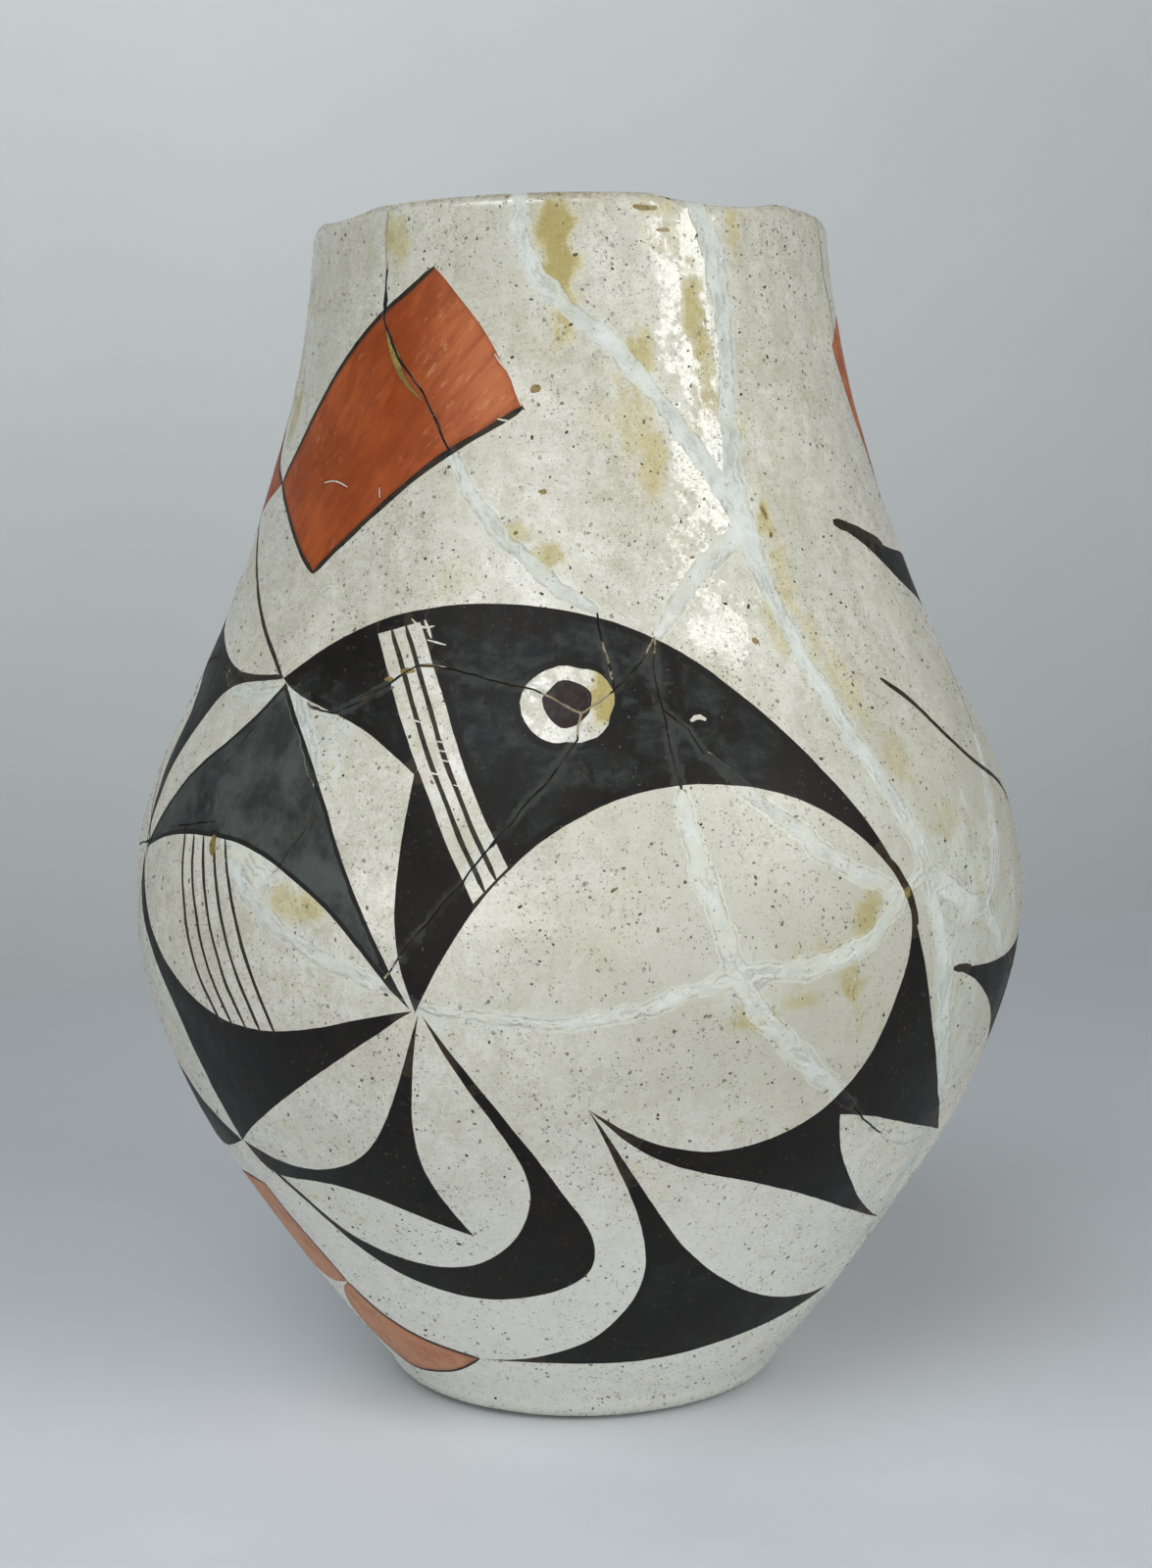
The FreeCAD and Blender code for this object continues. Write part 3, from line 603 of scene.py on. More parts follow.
def brush_line(net, places, width, turn, colour=BLACK):
    line = stroke(places, turn, 1.1)
    ends = np.minimum(np.arange(len(line)), np.arange(len(line))[::-1]) / 3
    half = width / 2 * (1 + 0.22 * lumps(on_wall(line), 6, 41)) * np.clip(0.45 + ends, 0, 1)
    net.outline(brushed(ribbon(line, (half, half)), turn), PAINT_LINE, net.paint, colour)


def draw_painting(net):
    """Both halves of the painting, in the order that the painter laid them."""
    forms = [(ORANGE_UPPER, ORANGE), (ORANGE_NEXT, ORANGE), (ORANGE_LOW, ORANGE), (ORANGE_FOOT, ORANGE),
             (SHOULDER_LEAF, BLACK), (SIDE_TRIANGLE, BLACK), (SIDE_LEAF, BLACK), (GREY_FORM, GREY),
             (CRESCENT, BLACK), (HEAD, BLACK), (BEAK_BLOCK, BLACK), (BOTTOM_LEAF, BLACK), (SWEEP, BLACK),
             (CENTRE_LEAF, BLACK)]
    for turn in (180, 0):
        for strokes, colour in forms:
            net.outline(brushed(form_outline(strokes, turn), turn), PAINT_LINE, net.paint, colour)
        for places, width in LINES:
            brush_line(net, places, width, turn)
        net.outline(brushed(form_outline(HEAD_STRIPES, turn), turn), PAINT_LINE, net.paint, WHITE)
        left_edge, _, right_edge, _ = closed(HEAD_STRIPES)
        for i in range(STRIPE_LINES):
            line = blend_lines(left_edge, right_edge[::-1], (i + 1) / (STRIPE_LINES + 1))
            brush_line(net, line, BRUSH_WIDTH * 1.05, turn)
        for i in range(HATCH_LINES):
            brush_line(net, blend_lines(*HATCH_EDGES, i / (HATCH_LINES - 1)), BRUSH_WIDTH, turn)
        for part, count, paint in (("ring", 40, WHITE), ("pupil", 26, PUPIL)):
            edge = waver(oval(EYE["place"], EYE[part], turn, count), [(6, 0.9), (2.4, 0.3)], 6)
            net.outline(brushed(edge, turn), PAINT_LINE, net.paint, paint)
    for places, width in SCRATCHES:
        brush_line(net, places, width, 0, WHITE)
    for bearing, height, half_wide, half_high in RESIN_DROPS:
        ring = oval((bearing, height), (half_wide, half_high), 0, 16)
        net.outline(waver(ring, [(1.5, 0.5), (4, 0.6)], 9), PAINT_LINE, net.paint, RESIN)
    net.outline(brushed(form_outline(AMBER_RUN, 0), 0), PAINT_LINE, net.paint, RESIN)


def row_lengths(start, end, spacing):
    return np.linspace(start, end, max(2, round((end - start) / spacing) + 1))


def fill_with_points(net, rows, spacing, bottom, top):
    """The net's own points, in rows, but none close to a line. Both sides of the seam get the same."""
    tree = tree_of(on_wall(np.array(net.points)))
    grid = []
    for number, length in enumerate(rows):
        count = max(24, round(2 * math.pi * float(radius_at(length)) / spacing))
        step = PERIOD / count
        x = -SEAM + (np.arange(count) + (0.5 if number % 2 else 0.0)) * step
        x = x[(x > -SEAM + step * 0.4) & (x < SEAM - step * 0.4)]
        grid += [(value, length) for value in x]
        grid += [(-SEAM, length), (SEAM, length)]
    grid = np.array(grid)
    free = np.array([tree.find(p)[2] > spacing / 2 for p in on_wall(grid)])
    edge = (grid[:, 1] == bottom) | (grid[:, 1] == top)
    corner = edge & (np.abs(grid[:, 0]) == SEAM)
    net.points += grid[free | corner].tolist()
    start = len(net.points)
    net.points += [(-SEAM, bottom), (SEAM, bottom), (SEAM, top), (-SEAM, top)]
    net.edges += [(start, start + 1), (start + 1, start + 2), (start + 2, start + 3), (start + 3, start)]
    net.kinds += [NET_EDGE] * 4


def lay_out(net, bottom, top):
    """The net's points, its triangles between bottom and top, the same joined across the seam, and its
    lines as {(a, b): kinds}."""
    spots = [Vector(p) for p in net.points]
    made, edges, faces, _, sources, _ = delaunay_2d_cdt(spots, net.edges, [], 0, CLOSE, True)
    points = np.array([tuple(p) for p in made])
    triangles = np.array([f for f in faces if len(f) == 3])
    middle = points[triangles].mean(axis=1)
    x, y = middle.T
    triangles = triangles[(np.abs(x) < SEAM - CLOSE) & (y > bottom + CLOSE) & (y < top - CLOSE)]
    left = np.where(np.abs(points[:, 0] + SEAM) < 2e-3)[0]
    right = np.where(np.abs(points[:, 0] - SEAM) < 2e-3)[0]
    joined = np.arange(len(points))
    for one in right:
        other = left[np.argmin(np.abs(points[left, 1] - points[one, 1]))]
        if abs(points[other, 1] - points[one, 1]) < 0.05:
            joined[one] = other
    lines = {}
    for (a, b), found in zip(edges, sources):
        kind = 0
        for source in found:
            if source < len(net.kinds):
                kind |= net.kinds[source]
        if kind:
            a, b = sorted((int(joined[a]), int(joined[b])))
            lines[a, b] = lines.get((a, b), 0) | kind
    a, b, c = joined[triangles].T
    triangles = triangles[(a != b) & (b != c) & (c != a)]
    return points, triangles, joined[triangles], lines


def sides_of(triangles):
    return np.concatenate([triangles[:, [0, 1]], triangles[:, [1, 2]], triangles[:, [2, 0]]])


def neighbours(triangles):
    """Pairs of triangles on either side of an edge, and that edge as one number."""
    size = int(triangles.max()) + 1
    sides = np.sort(sides_of(triangles), axis=1)
    code = sides[:, 0].astype(np.int64) * size + sides[:, 1]
    owner = np.tile(np.arange(len(triangles)), 3)
    order = np.argsort(code, kind="stable")
    code, owner = code[order], owner[order]
    same = code[1:] == code[:-1]
    return owner[:-1][same], owner[1:][same], code[:-1][same], size


def regions(triangles, lines, kinds):
    """Numbers the regions of the net that lines of these kinds part."""
    one, other, code, size = neighbours(triangles)
    walls = np.array([a * size + b for (a, b), kind in lines.items() if kind & kinds], np.int64)
    open_side = ~np.isin(code, walls)
    parent = list(range(len(triangles)))

    def root(i):
        while parent[i] != i:
            parent[i] = parent[parent[i]]
            i = parent[i]
        return i

    for a, b in zip(one[open_side].tolist(), other[open_side].tolist()):
        a, b = root(a), root(b)
        if a != b:
            parent[max(a, b)] = min(a, b)
    return np.unique([root(i) for i in range(len(triangles))], return_inverse=True)[1]


def inside(outline, points):
    """Which points lie in this outline, or in its copies across the seam."""
    found = np.zeros(len(points), bool)
    a, b = outline, np.roll(outline, -1, axis=0)
    for shift in HERE_TOO:
        p = points - (shift, 0)
        near = np.where((p[:, 0] > outline[:, 0].min()) & (p[:, 0] < outline[:, 0].max())
                        & (p[:, 1] > outline[:, 1].min()) & (p[:, 1] < outline[:, 1].max()))[0]
        for i in near:
            x, y = p[i]
            crosses = (a[:, 1] > y) != (b[:, 1] > y)
            start, end = a[crosses], b[crosses]
            at = start[:, 0] + (y - start[:, 1]) / (end[:, 1] - start[:, 1]) * (end[:, 0] - start[:, 0])
            found[i] ^= bool(np.count_nonzero(at > x) % 2)
    return found


def sherd_labels(points, flat, joined, lines):
    """Which sherd each triangle belongs to, as an index into SHERDS."""
    part = regions(joined, lines, JOINT_LINE)
    middle = points[flat].mean(axis=1)
    label = np.full(len(joined), -1)
    for number, place in enumerate(SHERDS.values()):
        x, y = to_net([place])[0]
        x = (x + SEAM) % PERIOD - SEAM
        nearest = np.argmin((middle[:, 0] - x) ** 2 + (middle[:, 1] - y) ** 2)
        label[part == part[nearest]] = number
    if (label < 0).any() or len(np.unique(part)) != len(SHERDS):
        raise RuntimeError(f"{len(np.unique(part))} sherds on the net, {(label < 0).sum()} triangles in none")
    return label


def distance_to(targets, points, far):
    """Distance from each point to the nearest target, in millimetres, and no more than far."""
    tree = tree_of(targets)
    return np.minimum([tree.find(p)[2] for p in points], far)


# ---------------------------------------------------------------- from the net to the pieces

MADE_UP = "plaster_made_up_sherd"
FOOT_SHERD = "sherd_base_and_front"
UNDERSIDE_SPACING = 2.2
UNDER_LIP_REACH = 0.7
FAR_OFF = 20.0
FACTS = ["paint_edge", "seam", "crack", "overpaint", "stain", "toned", "fresh", "smeared"]


def disc(ring, rings, spacing):
    """Points and triangles that close a round opening: ring holds its edge, rings the (radius, height)
    curve inwards. Triangles face up; the edge's own points come first."""
    edge = [Vector(p[:2]) for p in ring]
    curve = np.array(rings)
    inner = []
    for radius, height in curve:
        count = max(1, round(2 * math.pi * radius / spacing))
        turn = (len(inner) % 7) / 7
        for i in range(count):
            angle = 2 * math.pi * (i + turn) / count
            inner.append((radius * math.cos(angle), radius * math.sin(angle), height))
    count = len(edge)
    sides = [(i, (i + 1) % count) for i in range(count)]
    spots = edge + [Vector(p[:2]) for p in inner]
    _, _, faces, sources, _, _ = delaunay_2d_cdt(spots, sides, [], 1, 1e-5, True)
    first = np.array([source[0] for source in sources])
    return np.array(inner), first[np.array([f for f in faces if len(f) == 3])]


def ordered_ring(ids, points):
    angle = np.arctan2(points[ids, 1], points[ids, 0])
    return np.array(ids)[np.argsort(angle)]


# Soft-edged blots: (bearing, height, half width in degrees, half height, strength).
STAINS = [  # yellow-brown patches
    (-2.6, 240, 4.2, 13, 1.0), (-1, 228, 2.4, 8, 0.8), (16, 247.5, 5, 2.5, 0.4), (19, 241, 5, 4, 0.3),
    (35.3, 242, 2.2, 8, 0.6), (24.5, 226, 2.4, 9, 0.8), (26, 214, 2.2, 9, 0.6), (13.2, 219, 2.6, 5, 0.75),
    (11, 206, 4, 10, 0.5), (13.5, 198, 2.4, 7, 0.7), (5, 205, 3, 6, 0.3), (-9.3, 184, 2.2, 2.6, 0.6),
    (-3.9, 180.2, 3, 3, 0.7), (32.4, 187, 1.8, 5, 0.8), (34, 176, 2.2, 9, 0.5), (31, 166, 2.6, 6, 0.6),
    (-38, 243, 3.4, 6, 0.6), (4.6, 153.6, 3.2, 6, 1.0), (-34.8, 114.8, 4.5, 3.4, 0.6), (-45, 125, 4, 3, 0.5),
    (34.6, 111.4, 2.6, 4.5, 0.75), (32.2, 100, 2.2, 4, 0.7), (26.9, 105.3, 4, 3, 0.45),
    (25.6, 97.2, 3, 2.4, 0.6), (19.7, 94.4, 3, 2.4, 0.7), (40, 154, 3, 7, 0.45), (36.6, 163.6, 2.4, 6, 0.4),
    (44, 140, 2.6, 7, 0.4), (50, 128, 4, 4, 0.35), (-18, 176, 5, 4, 0.2), (-6, 166, 5, 2, 0.3),
    (140, 150, 9, 7, 0.5), (205, 215, 5, 14, 0.6), (240, 90, 9, 6, 0.5), (100, 205, 4, 14, 0.5),
    (165, 60, 9, 6, 0.45), (150, 232, 3, 12, 0.6), (290, 210, 3, 9, 0.5),
]
OVERPAINT = [  # blue-grey touching-in on the black paint
    (-10, 158, 13, 9, 0.9), (-14, 149, 8, 9, 0.8), (3, 163, 13, 6, 0.8), (-2, 142, 9, 7, 0.7),
    (12, 152, 9, 9, 0.85), (18, 144, 6, 6, 0.7), (-37, 153.5, 6, 4, 0.7), (-29, 150.5, 4, 3, 0.6),
    (24, 149, 5, 6, 0.45), (-54, 131, 3.2, 7, 1.0), (-6, 131, 4, 4, 0.4), (176, 150, 12, 8, 0.8),
    (190, 158, 9, 6, 0.7), (172, 160, 9, 6, 0.6), (-57, 84, 4, 4, 0.3), (45, 66, 5, 3, 0.3),
    (14, 36, 9, 7, 0.25),
]
TONED = [  # fills that the mender slipped over
    (20, 112, 28, 30, 0.62), (-30, 108, 20, 14, 0.5), (-12, 96, 14, 6, 0.6), (19, 175, 9, 14, 0.9),
    (-12, 184, 12, 16, 0.35), (34, 78, 8, 9, 0.5), (178, 140, 30, 40, 0.5),
]
FRESH = [  # breaks that show pale, newly chipped clay
    (0.4, 152.5, 6, 6, 1.0), (10.5, 164.5, 4, 3, 1.0), (4.3, 160, 2, 4, 0.7), (-21, 102, 4, 5, 0.8),
    (15, 127, 4, 5, 0.6), (-41, 244, 4, 10, 1.0), (-33, 150, 6, 3, 0.6), (-40, 150, 5, 4, 0.5),
    (44, 65, 8, 4, 0.6),
]
SMEARED = [  # plaster wiped thinly over the slip
    (54, 118, 10, 12, 0.9), (52, 96, 5, 18, 0.8), (56, 74, 6, 12, 0.7), (64, 104, 8, 12, 0.7),
    (50, 46, 7, 7, 0.5), (20, 101, 6, 7, 0.5), (-12, 96, 12, 4, 0.5), (28, 184, 6, 9, 0.6),
    (-52, 154, 6, 4, 0.8), (-33, 150, 5, 6, 1.0), (-31.6, 142, 2, 9, 1.0), (-40, 246, 4, 5, 0.7),
    (-12, 240, 5, 10, 0.5), (30, 236, 5, 12, 0.5), (40, 132, 6, 8, 0.5), (172, 170, 8, 14, 0.6),
    (195, 98, 10, 6, 0.6), (270, 215, 6, 20, 0.5),
]


def blots(points, bearings, heights, places, seed):
    """How strongly the blots at these places cover each point, from 0 to 1."""
    ragged = lumps(points, 6, seed) * 0.5 + lumps(points, 2.4, seed + 1) * 0.45
    cover = np.zeros(len(points))
    for bearing, height, half_wide, half_high, strength in places:
        off = (bearings - bearing + 180) % 360 - 180
        far = np.sqrt((off / half_wide) ** 2 + ((heights - height) / half_high) ** 2) + ragged
        cover = np.maximum(cover, strength * np.clip((1.15 - far) * 2.2, 0, 1))
    return np.minimum(cover, 1)


def build_outer():
    """The outer face as one net: its points, triangles and lines, and each triangle's sherd, fill, chip and
    paint."""
    net = Net()
    draw_breaks(net)
    draw_plaster(net)
    draw_painting(net)
    wall_rows = row_lengths(0.0, LENGTH_LIP, OUTER_SPACING * ROW_SHARE)
    lip_rows = row_lengths(LENGTH_LIP, LENGTH_END, LIP_SPACING)
    fill_with_points(net, np.concatenate([wall_rows, lip_rows[1:]]), OUTER_SPACING, 0.0, LENGTH_END)
    points, flat, joined, lines = lay_out(net, 0.0, LENGTH_END)
    label = sherd_labels(points, flat, joined, lines)
    cell = regions(joined, lines, JOINT_LINE | PLASTER_LINE | CHIP_LINE | PAINT_LINE)
    corners = points[flat]
    side_a, side_b = corners[:, 1] - corners[:, 0], corners[:, 2] - corners[:, 0]
    area = np.abs(side_a[:, 0] * side_b[:, 1] - side_a[:, 1] * side_b[:, 0])
    order = np.lexsort((-area, cell))
    largest = order[np.unique(cell[order], return_index=True)[1]]
    middle = corners[largest].mean(axis=1)

    plaster = np.full(len(middle), -1)
    for number, (outline, _) in reversed(list(enumerate(net.plaster))):
        plaster[inside(outline, middle)] = number
    chip = np.zeros(len(middle), bool)
    for outline, joint in net.chips:
        if not joint.startswith(("made_up", "left_leaf")):  # these were painted over
            chip |= inside(outline, middle)
    paint = np.full(len(middle), WHITE)
    for outline, colour in net.paint:
        paint[inside(outline, middle)] = colour
    return {"points": points, "flat": flat, "joined": joined, "lines": lines, "label": label,
            "plaster": plaster[cell], "chip": chip[cell], "paint": paint[cell]}


def vertices_of(lines, kind):
    return np.unique([v for pair, kinds in lines.items() if kinds & kind for v in pair]).astype(int)


def build_inner(outer):
    """The inner face, cut along the outer face's own joint points, so the two can be joined one to one."""
    points, lines = outer["points"], outer["lines"]
    used = np.zeros(len(points), bool)
    used[outer["joined"].ravel()] = True
    used &= (points[:, 1] <= LENGTH_LIP + NEAR) & (np.abs(points[:, 0]) <= SEAM + NEAR)
    joints = [pair for pair, kinds in lines.items() if kinds & JOINT_LINE and used[pair[0]] and used[pair[1]]]
    top = [v for v in np.unique(outer["joined"]) if points[v, 1] > LENGTH_END - NEAR]
    net = Net()
    spots = {v: (points[v, 0], min(points[v, 1], LENGTH_LIP))
             for v in sorted({v for pair in joints for v in pair})}
    spots |= {("top", v): (points[v, 0], LENGTH_LIP) for v in top}
    place_of = {key: [] for key in spots}
    for key, (x, y) in spots.items():
        for shift in HERE_TOO:
            if abs(x + shift) <= SEAM + NEAR:
                place_of[key].append(len(net.points))
                net.points.append((min(max(x + shift, -SEAM), SEAM), y))
    for a, b in joints:
        for pair in product(place_of[a], place_of[b]):
            if abs(net.points[pair[0]][0] - net.points[pair[1]][0]) < SEAM / 2:
                net.edges.append(pair)
                net.kinds.append(JOINT_LINE)
    start_length = float(length_at(INNER_WALL_START))
    rows = row_lengths(start_length, LENGTH_LIP, INNER_SPACING * ROW_SHARE)
    fill_with_points(net, rows[:-1], INNER_SPACING, start_length, LENGTH_LIP)
    laid, flat, joined, found = lay_out(net, start_length, LENGTH_LIP)
    label = sherd_labels(laid, flat, joined, found)
    tree = tree_of([(x, y, 0) for x, y in laid])
    seam_of = dict(zip(flat.ravel().tolist(), joined.ravel().tolist()))
    partner = {}
    for key, ids in place_of.items():
        nearest = tree.find((*net.points[ids[0]], 0))[1]
        partner[key] = seam_of.get(nearest, nearest)
    return {"points": laid, "flat": flat, "joined": joined, "label": label, "partner": partner,
            "joints": joints, "top": top}


def touching_fills(outer):
    """Which points of the outer net touch a fill, and which touch open wall."""
    covered = outer["plaster"] >= 0
    found = []
    for triangles in (outer["joined"][covered], outer["joined"][~covered]):
        touches = np.zeros(len(outer["points"]), bool)
        touches[triangles.ravel()] = True
        found.append(touches)
    return found


def layer_points(outer):
    """The outer net's points as the sherds have them, as the plaster has them on top, and underneath."""
    points = outer["points"]
    touches_plaster, touches_open = touching_fills(outer)
    border, deep = touches_plaster & touches_open, touches_plaster & ~touches_open
    surface = on_wall(points)
    from_border = distance_to(surface[border], surface, 12)
    over_lip = np.clip((points[:, 1] - LENGTH_LIP + 2) / 4, 0, 1)
    depth = GROOVE_DEPTH * np.clip(from_border / GROOVE_SLOPE, 0, 1) * (1 - 0.5 * over_lip)
    depth[~deep] = 0
    crack = vertices_of(outer["lines"], JOINT_LINE)
    nick = np.zeros(len(points))
    nick[crack] = CHIP_DEPTH * (0.9 + 0.5 * lumps(surface[crack], 4, 51)) * (1 - 0.4 * over_lip[crack])
    nick[touches_plaster] = 0
    pushed = np.where(deep, depth + GLUE_GAP, nick)
    crown = np.where(deep, 0.02 + 0.13 * lumps(surface, 4, 61) + 0.05 * lumps(surface, 1.8, 62), -FILL_SUNK)
    top_out = np.where(border, -FILL_SUNK, np.clip(crown, *FILL_STANDS))
    return (surface, on_wall(points, -pushed), on_wall(points, top_out),
            on_wall(points, -np.maximum(depth, THINNEST_LAYER)))


def floor_curve():
    """The inside floor as (radius, height), from the edge of the wall's net in to the middle."""
    middle = UNDERSIDE_RISE + FLOOR_THICKNESS
    places = [(r, middle - fall) for r, fall in FLOOR_PROFILE]
    for height, _ in OUTER_PROFILE[1:4]:
        x, _, z = inner_points(90.0, length_at(height))
        places.append((x, z))
    curve = cubic_spline(places, 400)
    edge = float(inner_points(90.0, length_at(INNER_WALL_START))[0])
    radii = np.arange(edge - INNER_SPACING, 0.5, -INNER_SPACING)
    return [(r, float(np.interp(r, curve[:, 0], curve[:, 1]))) for r in radii] + [(0.0, middle)]


def underside_curve():
    """The foot's flat ring and its hollow underside as (radius, height), inwards."""
    bow = (FOOT_FLAT_INNER**2 + UNDERSIDE_RISE**2) / (2 * UNDERSIDE_RISE)
    flat = [(r, 0.0) for r in (36.5, 34.7, 32.8, FOOT_FLAT_INNER)]
    dish = [(r, math.sqrt(bow**2 - r**2) - bow + UNDERSIDE_RISE)
            for r in np.arange(29.2, 0.5, -UNDERSIDE_SPACING)]
    return flat + dish + [(0.0, UNDERSIDE_RISE)]


def band(outer, inner, shift):
    """Faces through the wall along every joint, for each sherd. Inner points are numbered from shift on."""
    points, joined = outer["points"], outer["joined"]
    side_of = {}
    for (a, b, c), label in zip(joined.tolist(), outer["label"].tolist()):
        for pair in ((a, b), (b, c), (c, a)):
            side_of[pair] = label
    faces = {number: [] for number in range(len(SHERDS))}
    joints = [pair for pair, kinds in outer["lines"].items() if kinds & JOINT_LINE]
    for start, end in (way for pair in joints for way in (pair, pair[::-1])):
        label = side_of.get((start, end))
        if label is None or side_of.get((end, start)) == label:
            continue
        low, high = corner_behind(inner, points, start), corner_behind(inner, points, end)
        if low is None or high is None:
            continue
        faces[label].append((end, start, low + shift))
        if low != high:
            faces[label].append((end, low + shift, high + shift))
    return faces


def corner_behind(inner, points, vertex):
    """The inner net's point behind a joint point. Over the lip it is the joint's point under the lip."""
    if vertex in inner["partner"]:
        return inner["partner"][vertex]
    best, nearest = None, UNDER_LIP_REACH
    for other, partner in inner["under_lip"]:
        off = abs((points[other, 0] - points[vertex, 0] + SEAM) % PERIOD - SEAM)
        if off < nearest:
            best, nearest = partner, off
    return best


def fill_faces(top, upper, under):
    """Faces of a fill: its top, its underside and the strip between them. The numbers upper and under are
    where its two layers of points start."""
    sides = set(map(tuple, sides_of(top).tolist()))
    a, b = np.array([(a, b) for a, b in sides if (b, a) not in sides]).T
    return np.vstack([top + upper, top[:, ::-1] + under, np.stack([b + upper, a + upper, a + under], 1),
                      np.stack([b + upper, a + under, b + under], 1)])


def make_pieces():
    """Every point, the facts of each point, and every piece as (name, faces, finish of each face)."""
    outer = build_outer()
    inner = build_inner(outer)
    points, joined = outer["points"], outer["joined"]
    surface, sherd_face, fill_top, fill_bottom = layer_points(outer)
    count = len(points)
    inner["under_lip"] = [(v, inner["partner"][v]) for pair in inner["joints"] for v in pair
                          if abs(points[v, 1] - LENGTH_LIP) < NEAR]
    behind = inner_points(np.degrees(inner["points"][:, 0] / NET_RADIUS), inner["points"][:, 1])
    inner_id = np.arange(len(behind)) + count
    for v in inner["top"]:
        inner_id[inner["partner"]["top", v]] = v
    inner_faces = inner_id[inner["joined"]][:, ::-1]

    lowest = np.isclose(inner["points"][inner["joined"]][..., 1], inner["points"][:, 1].min())
    low_ring = ordered_ring(np.unique(inner["joined"][lowest]), behind)
    floor_points, floor_faces = disc(behind[low_ring], floor_curve(), INNER_SPACING)
    foot_ring = ordered_ring(np.unique(joined[points[joined][..., 1] < 1e-6]), surface)
    under_points, under_faces = disc(surface[foot_ring], underside_curve(), UNDERSIDE_SPACING)

    starts = np.cumsum([0, count, len(behind), count, count, len(floor_points), len(under_points)])
    everything = np.vstack([sherd_face, behind, fill_top, fill_bottom, floor_points, under_points])
    floor_ids = np.concatenate([low_ring + starts[1], np.arange(len(floor_points)) + starts[4]])
    under_ids = np.concatenate([foot_ring, np.arange(len(under_points)) + starts[5]])
    ends = [floor_ids[floor_faces], under_ids[under_faces][:, ::-1]]
    through = {sherd: [tuple(int(inner_id[v - count]) if v >= count else v for v in face) for face in faces]
               for sherd, faces in band(outer, inner, count).items()}

    finish = outer["paint"].copy()
    finish[outer["chip"]] = BROKEN
    finish[outer["plaster"] >= 0] = CLAY
    pieces = []
    for number, name in enumerate(SHERDS):
        own, clay, side = finish[outer["label"] == number], CLAY, BROKEN
        if name == MADE_UP:
            clay = side = MADE_UP_PLASTER
            own = np.where(np.isin(own, (GREY, BLACK)), own, MADE_UP_PLASTER)
        faces = [joined[outer["label"] == number], inner_faces[inner["label"] == number],
                 np.array(through[number]).reshape(-1, 3)]
        finishes = [own, np.full(len(faces[1]), clay), np.full(len(faces[2]), side)]
        if name == FOOT_SHERD:
            faces += ends
            finishes += [np.full(len(end), clay) for end in ends]
        pieces.append((name, np.vstack(faces), np.concatenate(finishes)))
    for number, name in enumerate(PLASTER):
        mine = outer["plaster"] == number
        faces = fill_faces(joined[mine], starts[2], starts[3])
        paint = outer["paint"][mine]
        finishes = np.full(len(faces), SEAM_PLASTER)
        finishes[:len(paint)] = np.where(np.isin(paint, (BLACK, GREY, RESIN)), paint, SEAM_PLASTER)
        pieces.append((name, faces, finishes))
    return everything, net_facts(outer, surface, everything, starts), pieces


def net_facts(outer, surface, everything, starts):
    """What the materials know of each point, by name."""
    points, lines = outer["points"], outer["lines"]
    bearings, heights = np.degrees(points[:, 0] / NET_RADIUS), surface[:, 2]
    on_plaster, on_open = touching_fills(outer)
    targets = {"paint_edge": surface[vertices_of(lines, PAINT_LINE)], "seam": surface[on_plaster & on_open],
               "crack": surface[vertices_of(lines, JOINT_LINE)]}
    blotted = {"overpaint": (OVERPAINT, 71), "stain": (STAINS, 73), "toned": (TONED, 77),
               "fresh": (FRESH, 79), "smeared": (SMEARED, 83)}
    facts = {}
    for name in FACTS:
        if name in targets:
            far, values = FAR_OFF, distance_to(targets[name], surface, FAR_OFF)
        else:
            far, values = 0.0, blots(surface, bearings, heights, *blotted[name])
        whole = np.full(len(everything), far)
        for start, end in (starts[:2], starts[2:4], starts[3:5]):
            whole[start:end] = values
        facts[name] = whole
    return facts


def linked(name, data):
    """A new object of the scene that shows this data."""
    made = bpy.data.objects.new(name, data)
    bpy.context.scene.collection.objects.link(made)
    return made


def piece_object(name, everything, facts, faces, finishes):
    """A piece of the jar, with its finishes and what they know of each point."""
    used, compact = np.unique(faces, return_inverse=True)
    compact = compact.reshape(faces.shape)
    mesh = bpy.data.meshes.new(name)
    mesh.from_pydata((everything[used] * MM).tolist(), [], compact.tolist())
    wanted = sorted(set(finishes.tolist()))
    for number in wanted:
        mesh.materials.append(MATERIALS[FINISHES[number]])
    mesh.polygons.foreach_set("material_index", np.searchsorted(wanted, finishes).astype(np.int32))
    slipped = mesh.attributes.new("slipped", "BOOLEAN", "FACE")
    slipped.data.foreach_set("value", finishes == WHITE)
    for fact in FACTS:
        layer = mesh.attributes.new(fact, "FLOAT", "POINT")
        layer.data.foreach_set("value", facts[fact][used].astype(np.float32))
    mesh.shade_smooth()
    mesh.update()
    mesh.set_sharp_from_angle(angle=math.radians(32))
    return linked(name, mesh)


# ---------------------------------------------------------------- node helpers

def colour(red, green, blue):
    """A colour given as on a screen, 0 to 255, as the shaders want it."""
    linear = [c / 255 / 12.92 if c <= 10 else ((c / 255 + 0.055) / 1.055) ** 2.4 for c in (red, green, blue)]
    return (*linear, 1.0)


